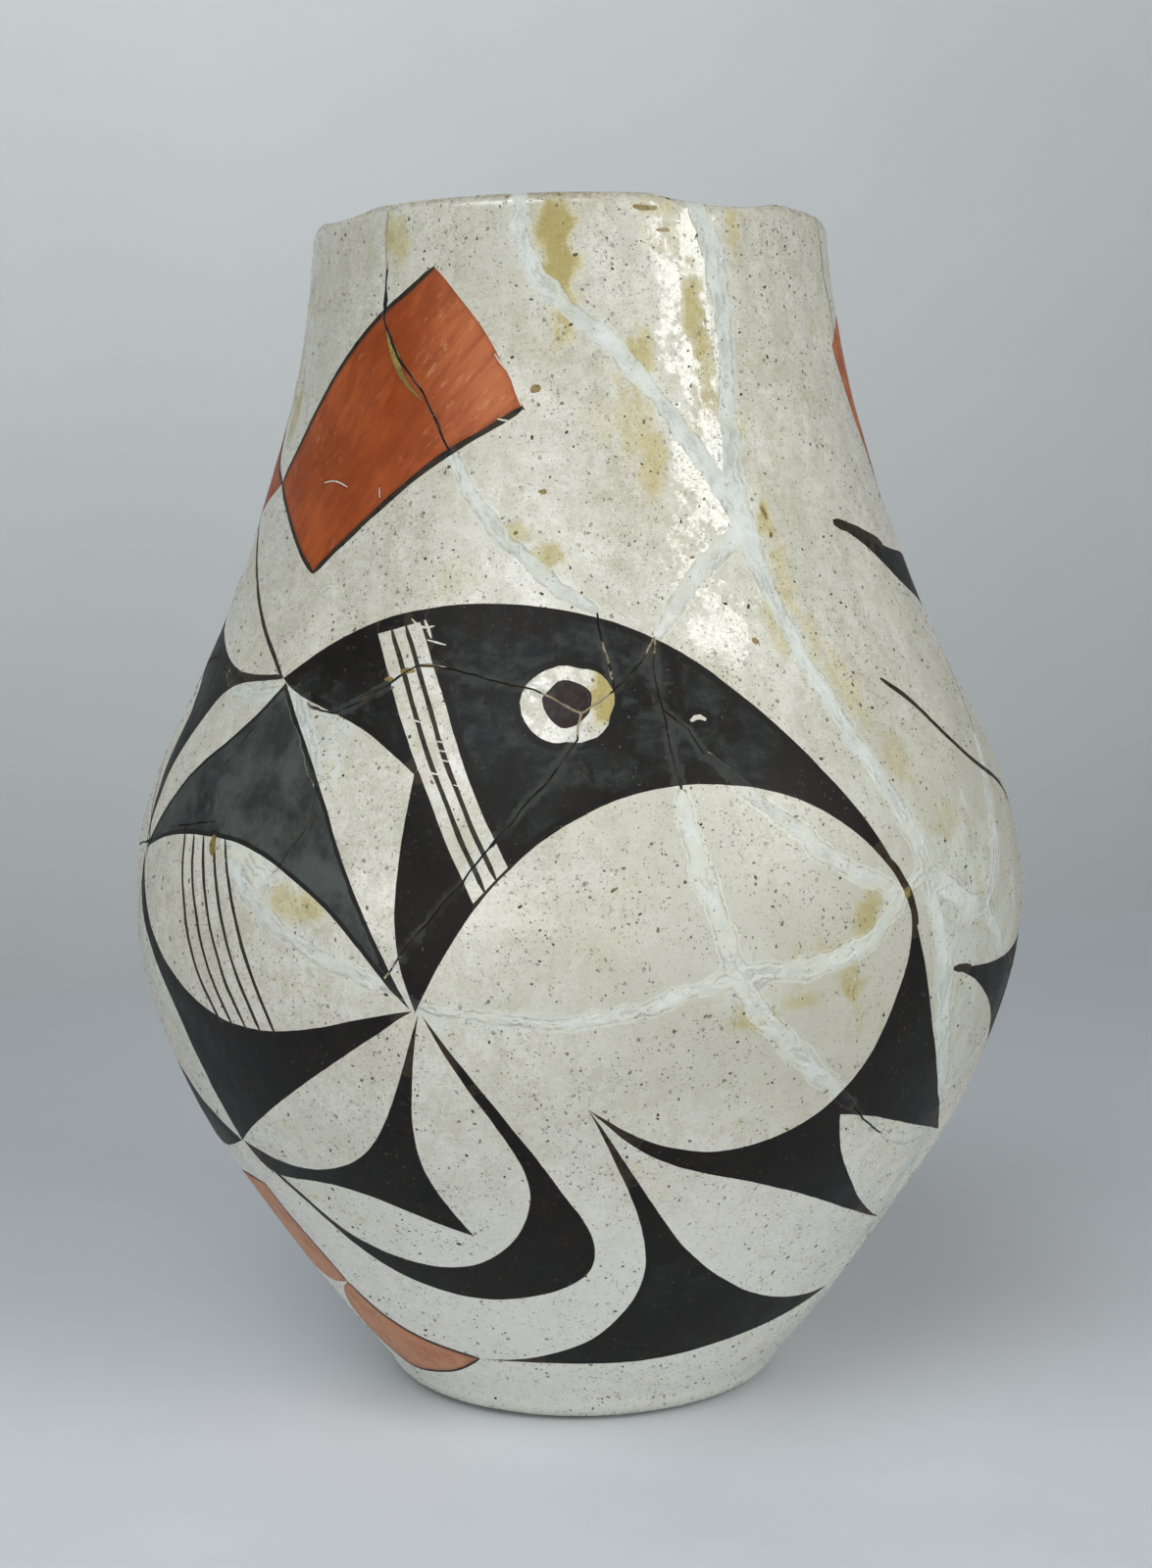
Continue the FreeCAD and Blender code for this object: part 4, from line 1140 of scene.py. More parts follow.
class Nodes:
    """Adds nodes to a tree. Patterns read the piece's own place, and their sizes are in millimetres."""

    def __init__(self, tree, place=None):
        self.tree, self.place = tree, place

    def add(self, kind, inputs=None, **settings):
        made = self.tree.nodes.new(kind)
        for key, value in settings.items():
            setattr(made, key, value)
        for socket, value in (inputs or {}).items():
            self.put(made.inputs[socket], value)
        return made

    def put(self, socket, value):
        if isinstance(value, bpy.types.NodeSocket):
            self.tree.links.new(value, socket)
        else:
            socket.default_value = value

    def calc(self, operation, *values, clamp=False):
        made = self.add("ShaderNodeMath", dict(enumerate(values)), operation=operation, use_clamp=clamp)
        return made.outputs[0]

    def times(self, *values):
        return reduce(lambda first, other: self.calc("MULTIPLY", first, other), values)

    def plus(self, *values):
        return reduce(lambda first, other: self.calc("ADD", first, other), values)

    def minus(self, first, other):
        return self.calc("SUBTRACT", first, other)

    def most(self, first, other):
        return self.calc("MAXIMUM", first, other)

    def vector(self, operation, *values):
        inputs = dict(zip((0, "Scale" if operation == "SCALE" else 1), values))
        return self.add("ShaderNodeVectorMath", inputs, operation=operation).outputs[0]

    def turned(self, axis, angle):
        inputs = {"Vector": self.place, "Axis": axis, "Angle": angle}
        return self.add("ShaderNodeVectorRotate", inputs).outputs[0]

    def between(self, value, low, high, to_low=0.0, to_high=1.0):
        made = self.add("ShaderNodeMapRange", {"Value": value, "From Min": low, "From Max": high,
                                               "To Min": to_low, "To Max": to_high},
                        interpolation_type="SMOOTHSTEP")
        return made.outputs[0]

    def mix(self, share, first, second, how="MIX"):
        made = self.add("ShaderNodeMix", {0: share, 6: first, 7: second}, data_type="RGBA", blend_type=how)
        return made.outputs[2]

    def over(self, tint, share, *rgb):
        """Lays this share of another colour over a tint."""
        return self.mix(share, tint, colour(*rgb))

    def noise(self, size, detail=3.0, rough=0.5, where=None, stretch=None):
        where = where or self.place
        if stretch:
            where = self.add("ShaderNodeMapping", {"Vector": where, "Scale": stretch}).outputs[0]
        return self.add("ShaderNodeTexNoise", {"Vector": where, "Scale": 1000 / size, "Detail": detail,
                                               "Roughness": rough}).outputs[0]

    def patches(self, pattern, low, high, *ends, **where):
        """A mask from a noise of this pattern, (size, detail, roughness), between two of its levels."""
        return self.between(self.noise(*pattern, **where), low, high, *ends)

    def clouded(self, pattern, low, high, first, second, **where):
        """Two colours, given as on a screen, that such a mask parts."""
        return self.mix(self.patches(pattern, low, high, **where), colour(*first), colour(*second))

    def axes(self, place=None):
        return self.add("ShaderNodeSeparateXYZ", {0: place or self.place}).outputs

    def fact(self, name):
        return self.add("ShaderNodeAttribute", attribute_name=name).outputs["Fac"]

    def facts(self, *names):
        return {name: self.fact(name) for name in names}

    def shared(self, name, **inputs):
        """The outputs of a shared effect, with its inputs by name."""
        made = self.add("ShaderNodeGroup", {"Place": self.place}, node_tree=GROUPS[name])
        for label, value in inputs.items():
            self.put(made.inputs[label.capitalize()], value)
        return made.outputs


GROUPS = {}


def group(name, title, inputs, outputs):
    """A shader node group that reads a place, with named inputs and outputs, and its first nodes."""
    GROUPS[name] = tree = bpy.data.node_groups.new(title, "ShaderNodeTree")
    tree.interface.new_socket("Place", in_out="INPUT", socket_type="NodeSocketVector")
    for label, value in inputs.items():
        kind = "NodeSocketFloat" if isinstance(value, float) else "NodeSocketColor"
        tree.interface.new_socket(label, in_out="INPUT", socket_type=kind).default_value = value
    for label in outputs:
        kind = "NodeSocketColor" if label == "Colour" else "NodeSocketFloat"
        tree.interface.new_socket(label, in_out="OUTPUT", socket_type=kind)
    nodes = Nodes(tree)
    given = nodes.add("NodeGroupInput").outputs
    nodes.place = given["Place"]
    return nodes, given, nodes.add("NodeGroupOutput").inputs


# ---------------------------------------------------------------- effects that several finishes share

DRIPPING = (1, 1, 0.4)  # stretches a pattern upright


def make_grit():
    """Grit of crushed stone in the clay: small dark and pale grains, some of them fallen out."""
    n, i, o = group("grit", "temper grit", {"Grain": 1.0, "Share": 0.3}, ("Dark", "Light", "Height", "Tone"))
    size = n.calc("DIVIDE", 1000.0, i["Grain"])
    bent = n.add("ShaderNodeTexNoise", {"Vector": n.place, "Scale": 2300.0, "Detail": 2.0}).outputs[1]
    warped = n.vector("ADD", n.place, n.vector("SCALE", bent, 0.001))
    grains = n.add("ShaderNodeTexVoronoi", {"Vector": warped, "Scale": size}, feature="F1").outputs
    chance = n.add("ShaderNodeSeparateColor", {0: grains["Color"]}).outputs
    spread = n.times(n.patches((17, 3), 0.36, 0.66, 0.3, 1.6), n.patches((4, 2), 0.4, 0.62, 0.4, 1.7))
    share = n.times(i["Share"], spread)
    radius = n.between(n.calc("POWER", chance["Blue"], 2.0), 0.0, 1.0, 0.16, 0.46)
    spot = n.between(grains["Distance"], radius, n.times(radius, 0.6))
    dark = n.times(spot, n.calc("LESS_THAN", chance["Red"], share))
    pale = n.times(spot, n.calc("GREATER_THAN", chance["Red"], n.minus(1.0, share)))
    n.put(o["Dark"], dark)
    n.put(o["Light"], pale)
    n.put(o["Height"], n.minus(n.times(pale, 0.6), dark))
    n.put(o["Tone"], chance["Green"])


def make_marks():
    """The slip was rubbed with a smooth stone: shallow facets that lean one way, polished only in places."""
    n, _, o = group("marks", "rubbing marks", {}, ("Marks", "Height", "Polish"))
    leaning = n.turned((0.3, 0.2, 1.0), 0.5)
    facets = n.noise(6.5, 3, 0.55, leaning, (1.0, 1.0, 0.4))
    fine = n.noise(0.9, 4, 0.65, leaning, (0.3, 0.3, 1.0))
    n.put(o["Marks"], n.plus(n.times(facets, 0.65), n.times(fine, 0.35)))
    n.put(o["Height"], n.plus(n.times(facets, 0.75), n.times(fine, 0.16)))
    broad = n.noise(15, 3, 0.5, stretch=(1.0, 1.0, 0.4))
    ragged = n.noise(1.7, 6, 0.75, stretch=(0.6, 0.6, 0.5))
    n.put(o["Polish"], n.between(n.plus(n.times(broad, 0.6), n.times(ragged, 0.4)), 0.45, 0.485))


def make_dirt():
    """Yellow-brown stains in streaks, and grime along the breaks and seams."""
    n, i, o = group("dirt", "age and dirt", {"Colour": (0.5, 0.5, 0.5, 1), "Stain": 0.0, "Crack": 20.0,
                                             "Seam": 20.0, "Strength": 1.0}, ("Colour", "Dirt"))
    mottled = n.times(n.patches((38, 4, 0.6), 0.48, 0.68), n.patches((8, 5, 0.65), 0.48, 0.7), 0.55)
    weak = n.minus(0.44, n.times(i["Stain"], 0.16))
    streaks = n.patches((2.6, 6, 0.75), weak, n.plus(weak, 0.11), stretch=DRIPPING)
    stained = n.times(n.calc("ADD", i["Stain"], mottled, clamp=True), streaks)
    stained = n.calc("MULTIPLY", stained, i["Strength"], clamp=True)
    yellow = n.mix(stained, i["Colour"], colour(228, 214, 138), "MULTIPLY")
    brown = n.over(yellow, n.between(stained, 0.6, 1.0, 0.0, 0.5), 146, 128, 62)
    near_crack = n.times(n.between(i["Crack"], 1.6, 0.2), n.patches((3, 4), 0.44, 0.68))
    near_seam = n.times(n.between(i["Seam"], 0.36, 0.08), n.patches((3, 5), 0.46, 0.58))
    grime = n.times(n.most(near_crack, n.times(near_seam, 0.8)), i["Strength"])
    n.put(o["Colour"], n.over(brown, n.times(grime, 0.45), 110, 98, 76))
    n.put(o["Dirt"], n.most(stained, grime))


def make_smear():
    """Wet plaster dragged out over the slip beside a fill, thinner and patchier away from it."""
    n, i, o = group("smear", "smeared plaster", {"Seam": 20.0, "Reach": 1.5}, ("Cover",))
    ragged = n.plus(n.noise(4, 5, 0.7), n.times(n.noise(1.1, 4), 0.4))
    n.put(o["Cover"], n.between(n.minus(ragged, n.calc("DIVIDE", i["Seam"], i["Reach"])), 0.2, 0.42))


# ---------------------------------------------------------------- finishes

BUMP_HEIGHT = 0.0004
LIP_EDGE = (0.2478, 0.2494)  # heights between which the worn lip's pitting sets in, in metres
SLIP_BAND_EDGE = (0.2325, 0.2345)  # heights between which the slip inside the neck begins
PLASTER_WHITE = (202, 206, 197)
SLIP_WARM, SLIP_PALE = colour(192, 189, 172), colour(206, 205, 193)


def finish_material(name):
    """A material with its shader, its nodes and its shader's sockets."""
    material = bpy.data.materials.new(name.replace("_", " "))
    material.use_nodes = True
    material.node_tree.nodes.clear()
    n = Nodes(material.node_tree)
    n.place = n.add("ShaderNodeTexCoord").outputs["Object"]
    shader = n.add("ShaderNodeBsdfPrincipled")
    n.put(n.add("ShaderNodeOutputMaterial").inputs[0], shader.outputs[0])
    return material, n, shader.inputs


def surface_of(n, sockets, tint, rough, height=None, strength=0.5, shine=None, deep=BUMP_HEIGHT):
    n.put(sockets["Base Color"], tint)
    n.put(sockets["Roughness"], rough)
    if height:
        bump = n.add("ShaderNodeBump", {"Height": height, "Strength": strength, "Distance": deep})
        n.put(sockets["Normal"], bump.outputs[0])
    if shine is not None:
        sockets["Specular IOR Level"].default_value = shine


def white_slip(n, s):
    """Kaolin slip, rubbed to a gloss in places: warm chalk white, peppered with grit, stained with age."""
    coarse, grit, fine = (n.shared("grit", grain=grain, share=share)
                          for grain, share in ((1.2, 0.16), (0.62, 0.3), (0.38, 0.4)))
    marks = n.shared("marks")
    tint = n.mix(n.patches((24, 5, 0.65), 0.34, 0.66), SLIP_WARM, SLIP_PALE)
    tint = n.over(tint, n.patches((3.2, 6, 0.75), 0.42, 0.62, 0.0, 0.7), 180, 176, 156)
    tint = n.over(tint, n.between(marks["Marks"], 0.42, 0.62, 0.0, 0.3), 217, 216, 207)
    tint = n.over(tint, n.patches((0.55, 3, 0.7), 0.5, 0.68, 0.0, 0.55), 158, 153, 134)
    across, _, height = n.axes()
    # Painted light: the slip is drawn paler towards the foot, standing in for light thrown up from the table.
    tint = n.over(tint, n.between(height, 0.085, 0.035, 0.0, 0.7), 222, 222, 215)
    # Painted shade: the slip is drawn darker over the belly, more so towards the right; the same mask also
    # dulls the polish there.
    belly_shade = n.times(n.between(height, 0.165, 0.125), n.between(height, 0.06, 0.09),
                    n.between(across, -0.03, 0.03, 0.0, 0.75))
    tint = n.over(tint, belly_shade, 176, 175, 160)
    smear = n.shared("smear", seam=n.fact("seam"), reach=1.5)["Cover"]
    wiped = n.times(n.fact("smeared"), n.patches((3.4, 6, 0.75), 0.4, 0.56, stretch=DRIPPING))
    smear = n.most(smear, n.times(wiped, 1.2))
    by_crack = n.between(n.plus(n.fact("crack"), n.noise(3, 4, 0.7)), 2.2, 1.3)
    smear = n.most(n.times(smear, 0.6), n.times(by_crack, 0.5))
    tint = n.over(tint, smear, *PLASTER_WHITE)
    for spots, share, dark, light in ((coarse, 0.72, (62, 57, 50), (134, 124, 102)),
                                      (grit, 0.8, (58, 54, 47), (124, 114, 95))):
        speck = n.mix(spots["Tone"], colour(*dark), colour(*light))
        tint = n.mix(n.times(spots["Dark"], share), tint, speck)
    tint = n.over(tint, n.times(fine["Dark"], 0.75), 96, 90, 76)
    tint = n.over(tint, n.times(fine["Light"], 0.4), 230, 228, 216)
    dirt = n.shared("dirt", colour=tint, strength=1.0, **n.facts("stain", "crack", "seam"))
    pitted = n.times(n.between(height, *LIP_EDGE), n.patches((1.8, 5, 0.7), 0.46, 0.6, 0.1, 0.9))
    tint = n.over(dirt["Colour"], n.times(pitted, 0.6), 142, 124, 94)
    dull = n.patches((1.1, 4, 0.7), 0.35, 0.65, 0.58, 0.74)
    polish = n.times(marks["Polish"], n.between(dirt["Dirt"], 0.5, 0.0),
                     n.between(belly_shade, 0.1, 0.75, 1.0, 0.4))
    rough = n.minus(dull, n.times(polish, n.between(marks["Marks"], 0.35, 0.6, 0.54, 0.44)))
    relief = n.plus(n.times(grit["Height"], 0.25), marks["Height"], n.times(coarse["Height"], 0.3))
    surface_of(n, s, tint, rough, n.minus(relief, n.times(pitted, 0.8)), 0.5, 1.0)


def black_paint(n, s):
    """Plant and iron black: nearly matt, blacker where the brush drew its edge, touched in in blue-grey."""
    grit, marks = n.shared("grit", grain=0.6, share=0.1), n.shared("marks")
    tint = n.mix(n.between(marks["Marks"], 0.35, 0.65), colour(15, 14, 12), colour(27, 24, 22))
    thin = n.times(n.patches((1.1, 5, 0.75), 0.56, 0.7), n.patches((13, 3), 0.45, 0.65))
    tint = n.over(tint, n.times(thin, 0.4), 104, 80, 62)
    tint = n.over(tint, n.times(grit["Light"], 0.34), 128, 116, 98)
    cloudy = n.patches((7, 6, 0.72), 0.4, 0.52, stretch=(1, 1, 0.6))
    touched = n.times(n.fact("overpaint"), cloudy, n.between(n.fact("paint_edge"), 1.2, 1.9))
    blue = n.clouded((2.4, 5, 0.7), 0.35, 0.7, (33, 37, 36), (60, 65, 63), stretch=(0.5, 0.5, 1.0))
    tint = n.mix(n.calc("MULTIPLY", touched, 0.95, clamp=True), tint, blue)
    band = n.plus(n.fact("crack"), n.times(n.noise(3.5, 5, 0.7), 5.0))
    by_crack = n.times(n.between(band, 3.9, 3.5), n.patches((8, 3), 0.42, 0.54, 0.15, 1.0))
    tint = n.over(tint, n.times(by_crack, 0.8), 54, 58, 56)
    edge = n.between(n.plus(n.fact("paint_edge"), n.noise(2, 4, 0.7)), 0.72, 0.42)
    tint = n.over(tint, n.times(edge, 0.35), 84, 70, 54)
    dirt = n.shared("dirt", colour=tint, strength=0.25, **n.facts("crack", "seam"))
    rough = n.plus(n.between(marks["Marks"], 0.35, 0.65, 0.4, 0.54), n.times(n.most(touched, by_crack), 0.2))
    surface_of(n, s, dirt["Colour"], rough, n.plus(n.times(grit["Height"], 0.25), marks["Height"]), 0.5, 0.16)


def orange_paint(n, s):
    """Red-orange clay paint, streaky where the brush was dry and darker at its edges."""
    grit, marks = n.shared("grit", grain=0.6, share=0.14), n.shared("marks")
    leaning = n.turned((0.0, 1.0, 0.0), -0.75)
    strokes = n.noise(2.4, 4, 0.6, leaning, (1, 1, 0.14))
    across, _, height = n.axes()
    # Painted light: the orange's right, upper part is drawn paler, standing in for light from the right.
    lit_side = n.times(n.between(across, -0.034, -0.014), n.between(height, 0.19, 0.215))
    tint = n.clouded((13, 4, 0.6), 0.35, 0.65, (142, 64, 22), (162, 80, 36))
    tint = n.over(tint, n.times(lit_side, 0.75), 190, 114, 74)
    tint = n.over(tint, n.between(strokes, 0.38, 0.66, 0.0, 0.55), 124, 52, 20)
    # Paler towards the foot: partly faded, thin paint, and partly painted light standing in for light thrown up
    # from the table.
    faded_and_bounce_lit = n.times(n.between(height, 0.062, 0.05), n.patches((7, 5, 0.7), 0.3, 0.6, 0.45, 0.9))
    tint = n.over(tint, faded_and_bounce_lit, 190, 140, 108)
    dry = n.times(n.patches((1.2, 5, 0.75), 0.55, 0.66, where=leaning, stretch=(1, 1, 0.3)),
                  n.patches((14, 3), 0.42, 0.6))
    tint = n.over(tint, n.times(dry, 0.5), 198, 146, 106)
    tint = n.over(tint, n.times(grit["Dark"], 0.5), 74, 36, 18)
    tint = n.over(tint, n.between(n.fact("paint_edge"), 0.9, 0.1, 0.0, 0.35), 106, 48, 24)
    dirt = n.shared("dirt", colour=tint, strength=0.5, **n.facts("crack", "seam"))
    surface_of(n, s, dirt["Colour"], n.between(marks["Marks"], 0.35, 0.65, 0.42, 0.56),
               n.plus(n.times(strokes, 0.3), n.times(marks["Height"], 0.7)), 0.5, 0.22)


def grey_overpaint(n, s):
    """Modern touching-in over the plaster: cloudy green-grey, nearly matt, edged in black."""
    cloud = n.patches((9, 6, 0.7), 0.34, 0.66)
    tint = n.mix(cloud, colour(44, 47, 45), colour(74, 79, 76))
    tint = n.over(tint, n.times(n.patches((3.2, 5, 0.72), 0.56, 0.68), 0.5), 36, 37, 35)
    patch = n.times(n.fact("overpaint"), n.patches((6, 5, 0.7), 0.3, 0.55))
    tint = n.over(tint, n.times(patch, 0.85), 29, 32, 34)
    drawn = n.between(n.plus(n.fact("paint_edge"), n.times(n.noise(4, 4), 0.8)), 1.5, 1.2)
    tint = n.over(tint, n.times(drawn, 0.95), 24, 22, 20)
    dirt = n.shared("dirt", colour=tint, strength=0.3, **n.facts("crack", "seam"))
    surface_of(n, s, dirt["Colour"], n.between(cloud, 0.0, 1.0, 0.5, 0.66), n.noise(2.2, 4, 0.6), 0.3, 0.22)


def eye_paint(n, s):
    """The pupil's brown-black, a little glossier than the rest."""
    tint = n.mix(n.noise(2.2, 5), colour(18, 11, 10), colour(42, 25, 20))
    surface_of(n, s, tint, n.patches((2, 3), 0.3, 0.7, 0.34, 0.5), n.noise(1.4, 4), 0.3, 0.22)


def old_resin(n, s):
    """Drips of an old mender's resin: thin ochre-brown films, darker where they dried thick at the edge."""
    tint = n.clouded((1.6, 5, 0.7), 0.35, 0.65, (126, 106, 42), (168, 148, 84))
    tint = n.over(tint, n.times(n.between(n.fact("paint_edge"), 0.5, 0.0), 0.6), 98, 78, 32)
    surface_of(n, s, tint, n.patches((1.6, 3), 0.3, 0.7, 0.22, 0.4), n.noise(1.5, 4), 0.4, deep=0.0003)


def broken_edge(n, s):
    """The clay of a break: dark with dirt in the crack, and pale where it was chipped lately."""
    ragged = n.plus(n.times(n.noise(2.6, 5, 0.7), 0.8), n.times(n.fact("fresh"), 0.24))
    old = n.clouded((5, 4), 0.46, 0.7, (22, 19, 16), (70, 60, 47))
    tint = n.over(old, n.between(ragged, 0.52, 0.6), 176, 163, 136)
    surface_of(n, s, tint, 0.85, n.noise(0.9, 5, 0.7), 0.9)


def bare_clay(n, s):
    """Grey-buff clay of the inside, wiped while wet, with a band of slip just inside the lip."""
    grit = n.shared("grit", grain=1.1, share=0.4)
    slipped = n.between(n.plus(n.axes()["Z"], n.times(n.noise(24, 3), 0.018)), *SLIP_BAND_EDGE)
    coils = n.add("ShaderNodeTexWave", {"Vector": n.place, "Scale": 34.0, "Distortion": 5.0, "Detail": 3.0,
                                        "Detail Scale": 1.3}, bands_direction="Z").outputs[1]
    wiped = n.noise(6, 4, 0.6, stretch=(1, 1, 5))
    clay = n.clouded((20, 4, 0.6), 0.3, 0.7, (150, 134, 108), (178, 164, 138))
    clay = n.over(clay, n.between(wiped, 0.35, 0.7, 0.0, 0.4), 132, 116, 92)
    clay = n.over(clay, n.times(grit["Dark"], 0.6), 84, 72, 56)
    slip = n.mix(n.noise(9, 4), colour(198, 191, 168), colour(216, 211, 192))
    dirt = n.shared("dirt", colour=n.mix(slipped, clay, slip), crack=n.fact("crack"), strength=0.8)
    relief = n.plus(n.times(coils, 0.5), n.times(wiped, 0.5), n.times(grit["Height"], 0.3))
    surface_of(n, s, dirt["Colour"], n.between(slipped, 0.0, 1.0, 0.86, 0.6), relief, 0.6)


def plaster(first, second, rough):
    """Fine white plaster, trowelled flush: lightly ridged and pitted, thin and slip-coloured at its edges."""
    def finish(n, s):
        lumpy = n.noise(2.8, 6, 0.62)
        pits = n.add("ShaderNodeTexVoronoi", {"Vector": n.place, "Scale": 1000 / 1.2}, feature="F1").outputs
        pit = n.times(n.between(pits["Distance"], 0.24, 0.1), n.calc("GREATER_THAN", n.noise(3, 2), 0.56))
        tint = n.clouded((9, 5, 0.7), 0.35, 0.65, first, second)
        fade = n.between(n.minus(n.fact("seam"), n.times(n.noise(2.6, 5, 0.75), 2.0)), 0.0, -0.9)
        slipped_over = n.times(n.fact("toned"), n.patches((4, 5, 0.7), 0.36, 0.6))
        toned = n.calc("ADD", n.times(fade, 0.5), slipped_over, clamp=True)
        tint = n.mix(n.times(toned, 0.92), tint, n.mix(n.noise(6, 4), SLIP_WARM, SLIP_PALE))
        tint = n.over(tint, n.between(lumpy, 0.54, 0.7, 0.0, 0.4), 176, 180, 170)
        drawn = n.plus(n.times(n.fact("seam"), 3.4), n.times(n.noise(4, 5, 0.65), 17.0))
        ridge = n.times(n.calc("SINE", drawn), n.patches((6, 3), 0.4, 0.6))
        tint = n.over(tint, n.between(ridge, 0.4, 0.95, 0.0, 0.5), 166, 168, 156)
        wandering = n.calc("ABSOLUTE", n.minus(n.noise(5, 5, 0.6), 0.5))
        split = n.times(n.between(wandering, 0.006, 0.001), n.patches((11, 2), 0.5, 0.6))
        tint = n.over(tint, n.times(n.most(pit, split), 0.6), 122, 116, 100)
        grit = n.shared("grit", grain=0.6, share=0.07)
        tint = n.over(tint, n.times(grit["Dark"], 0.6), 100, 88, 66)
        stain = n.times(n.fact("stain"), 0.3)
        dirt = n.shared("dirt", colour=tint, stain=stain, seam=n.fact("seam"), strength=0.5)
        surface_of(n, s, dirt["Colour"], n.patches((4, 3), 0.35, 0.65, rough - 0.2, rough),
                   n.minus(lumpy, n.times(n.plus(pit, ridge), 0.35)), 0.7)
    return finish


def temper_grain(n, s):
    """Crushed old pots and stone that came to the surface when the slip was rubbed."""
    tone = n.fact("tone")
    dark = n.mix(n.between(tone, 0.0, 0.7), colour(44, 41, 36), colour(120, 109, 88))
    surface_of(n, s, n.over(dark, n.calc("GREATER_THAN", tone, 0.86), 196, 188, 166), 0.8)


def make_materials():
    for make_group in (make_grit, make_marks, make_dirt, make_smear):
        make_group()
    makers = {maker.__name__: maker for maker in (
        white_slip, black_paint, orange_paint, grey_overpaint, eye_paint, old_resin, broken_edge, bare_clay,
        temper_grain)}
    makers["seam_plaster"] = plaster((189, 194, 186), (207, 212, 206), 0.62)
    makers["made_up_plaster"] = plaster((198, 198, 184), (210, 210, 198), 0.7)
    made = {}
    for name, maker in makers.items():
        made[name], nodes, sockets = finish_material(name)
        maker(nodes, sockets)
    return made


# ---------------------------------------------------------------- the wall as a hand made it

FOOT_FADE = 0.015  # height over which the wall's unevenness fades in
# Heights of the swells and ripples, grains in a square metre, and the grains' sizes.
HAND_MADE = {"Swell": 0.0014, "Ripple": 0.0003, "Grains": 90000.0, "Smallest grain": 0.00009,
             "Largest grain": 0.00036}


def hand_built_wall():
    """The tree that makes a smooth wall hand-built: it swells and sinks where coils of clay were joined and
    scraped, and grains of temper lie in its slip. Lengths are in metres."""
    tree = bpy.data.node_groups.new("hand-built wall", "GeometryNodeTree")
    tree.is_modifier = True
    kinds = {"Geometry": "Geometry"} | dict.fromkeys(HAND_MADE, "Float") | {"Seed": "Int", "Grain": "Material"}
    for label, kind in kinds.items():
        tree.interface.new_socket(label, in_out="INPUT", socket_type="NodeSocket" + kind)
    tree.interface.new_socket("Geometry", in_out="OUTPUT", socket_type="NodeSocketGeometry")
    n = Nodes(tree)
    i, o = n.add("NodeGroupInput").outputs, n.add("NodeGroupOutput").inputs
    n.place = n.add("GeometryNodeInputPosition").outputs[0]
    coils = n.minus(n.noise(26, 2, where=n.vector("MULTIPLY", n.place, (0.55, 0.55, 1.0))), 0.5)
    scraped = n.minus(n.noise(7, 2), 0.5)
    out = n.times(n.plus(n.times(coils, i["Swell"]), n.times(scraped, i["Ripple"])),
                  n.between(n.axes()["Z"], 0.0, FOOT_FADE))
    outward = n.vector("NORMALIZE", n.vector("MULTIPLY", n.place, (1, 1, 0)))
    move = n.vector("SCALE", outward, out)
    wall = n.add("GeometryNodeSetPosition", {"Geometry": i["Geometry"], "Offset": move}).outputs[0]

    slipped, is_grain = (n.add("GeometryNodeInputNamedAttribute", {"Name": name},
                               data_type="BOOLEAN").outputs[0] for name in ("slipped", "grain"))
    crowded = n.times(n.patches((20, 3), 0.36, 0.64, 0.35, 1.6), n.patches((5, 2), 0.4, 0.62, 0.4, 1.6))
    spots = n.add("GeometryNodeDistributePointsOnFaces",
                  {"Mesh": wall, "Selection": slipped, "Density": n.times(crowded, i["Grains"]),
                   "Seed": i["Seed"]}).outputs
    chance = [n.add("FunctionNodeRandomValue", {"Seed": seed}, data_type="FLOAT").outputs["Value"]
              for seed in (1, 2, 3, 4)]
    range_of_sizes = n.minus(i["Largest grain"], i["Smallest grain"])
    size = n.plus(i["Smallest grain"], n.times(n.calc("POWER", chance[0], 3.0), range_of_sizes))
    long = n.times(size, n.between(chance[1], 0.0, 1.0, 0.8, 1.9))
    shape = n.add("ShaderNodeCombineXYZ", {0: long, 1: size, 2: n.times(size, 0.35)}).outputs[0]
    turn = n.add("FunctionNodeAxisAngleToRotation", {"Axis": (0, 0, 1), "Angle": n.times(chance[2], 6.283)})
    lie = n.add("FunctionNodeRotateRotation", {"Rotation": spots["Rotation"], "Rotate By": turn.outputs[0]},
                rotation_space="LOCAL").outputs[0]
    stone = n.add("GeometryNodeMeshIcoSphere", {"Radius": 1.0, "Subdivisions": 1}).outputs[0]
    grains = n.add("GeometryNodeInstanceOnPoints", {"Points": spots["Points"], "Instance": stone,
                                                    "Rotation": lie, "Scale": shape}).outputs[0]
    for name, value, kind in (("tone", chance[3], "FLOAT"), ("grain", True, "BOOLEAN")):
        grains = n.add("GeometryNodeStoreNamedAttribute", {"Geometry": grains, "Name": name, "Value": value},
                       data_type=kind, domain="INSTANCE").outputs[0]
    together = n.add("GeometryNodeJoinGeometry")
    for part in (grains, wall):
        n.put(together.inputs[0], part)
    real = n.add("GeometryNodeRealizeInstances", {"Geometry": together.outputs[0]}).outputs[0]
    made = n.add("GeometryNodeSetMaterial", {"Geometry": real, "Selection": is_grain, "Material": i["Grain"]})
    n.put(o["Geometry"], made.outputs[0])
    return tree


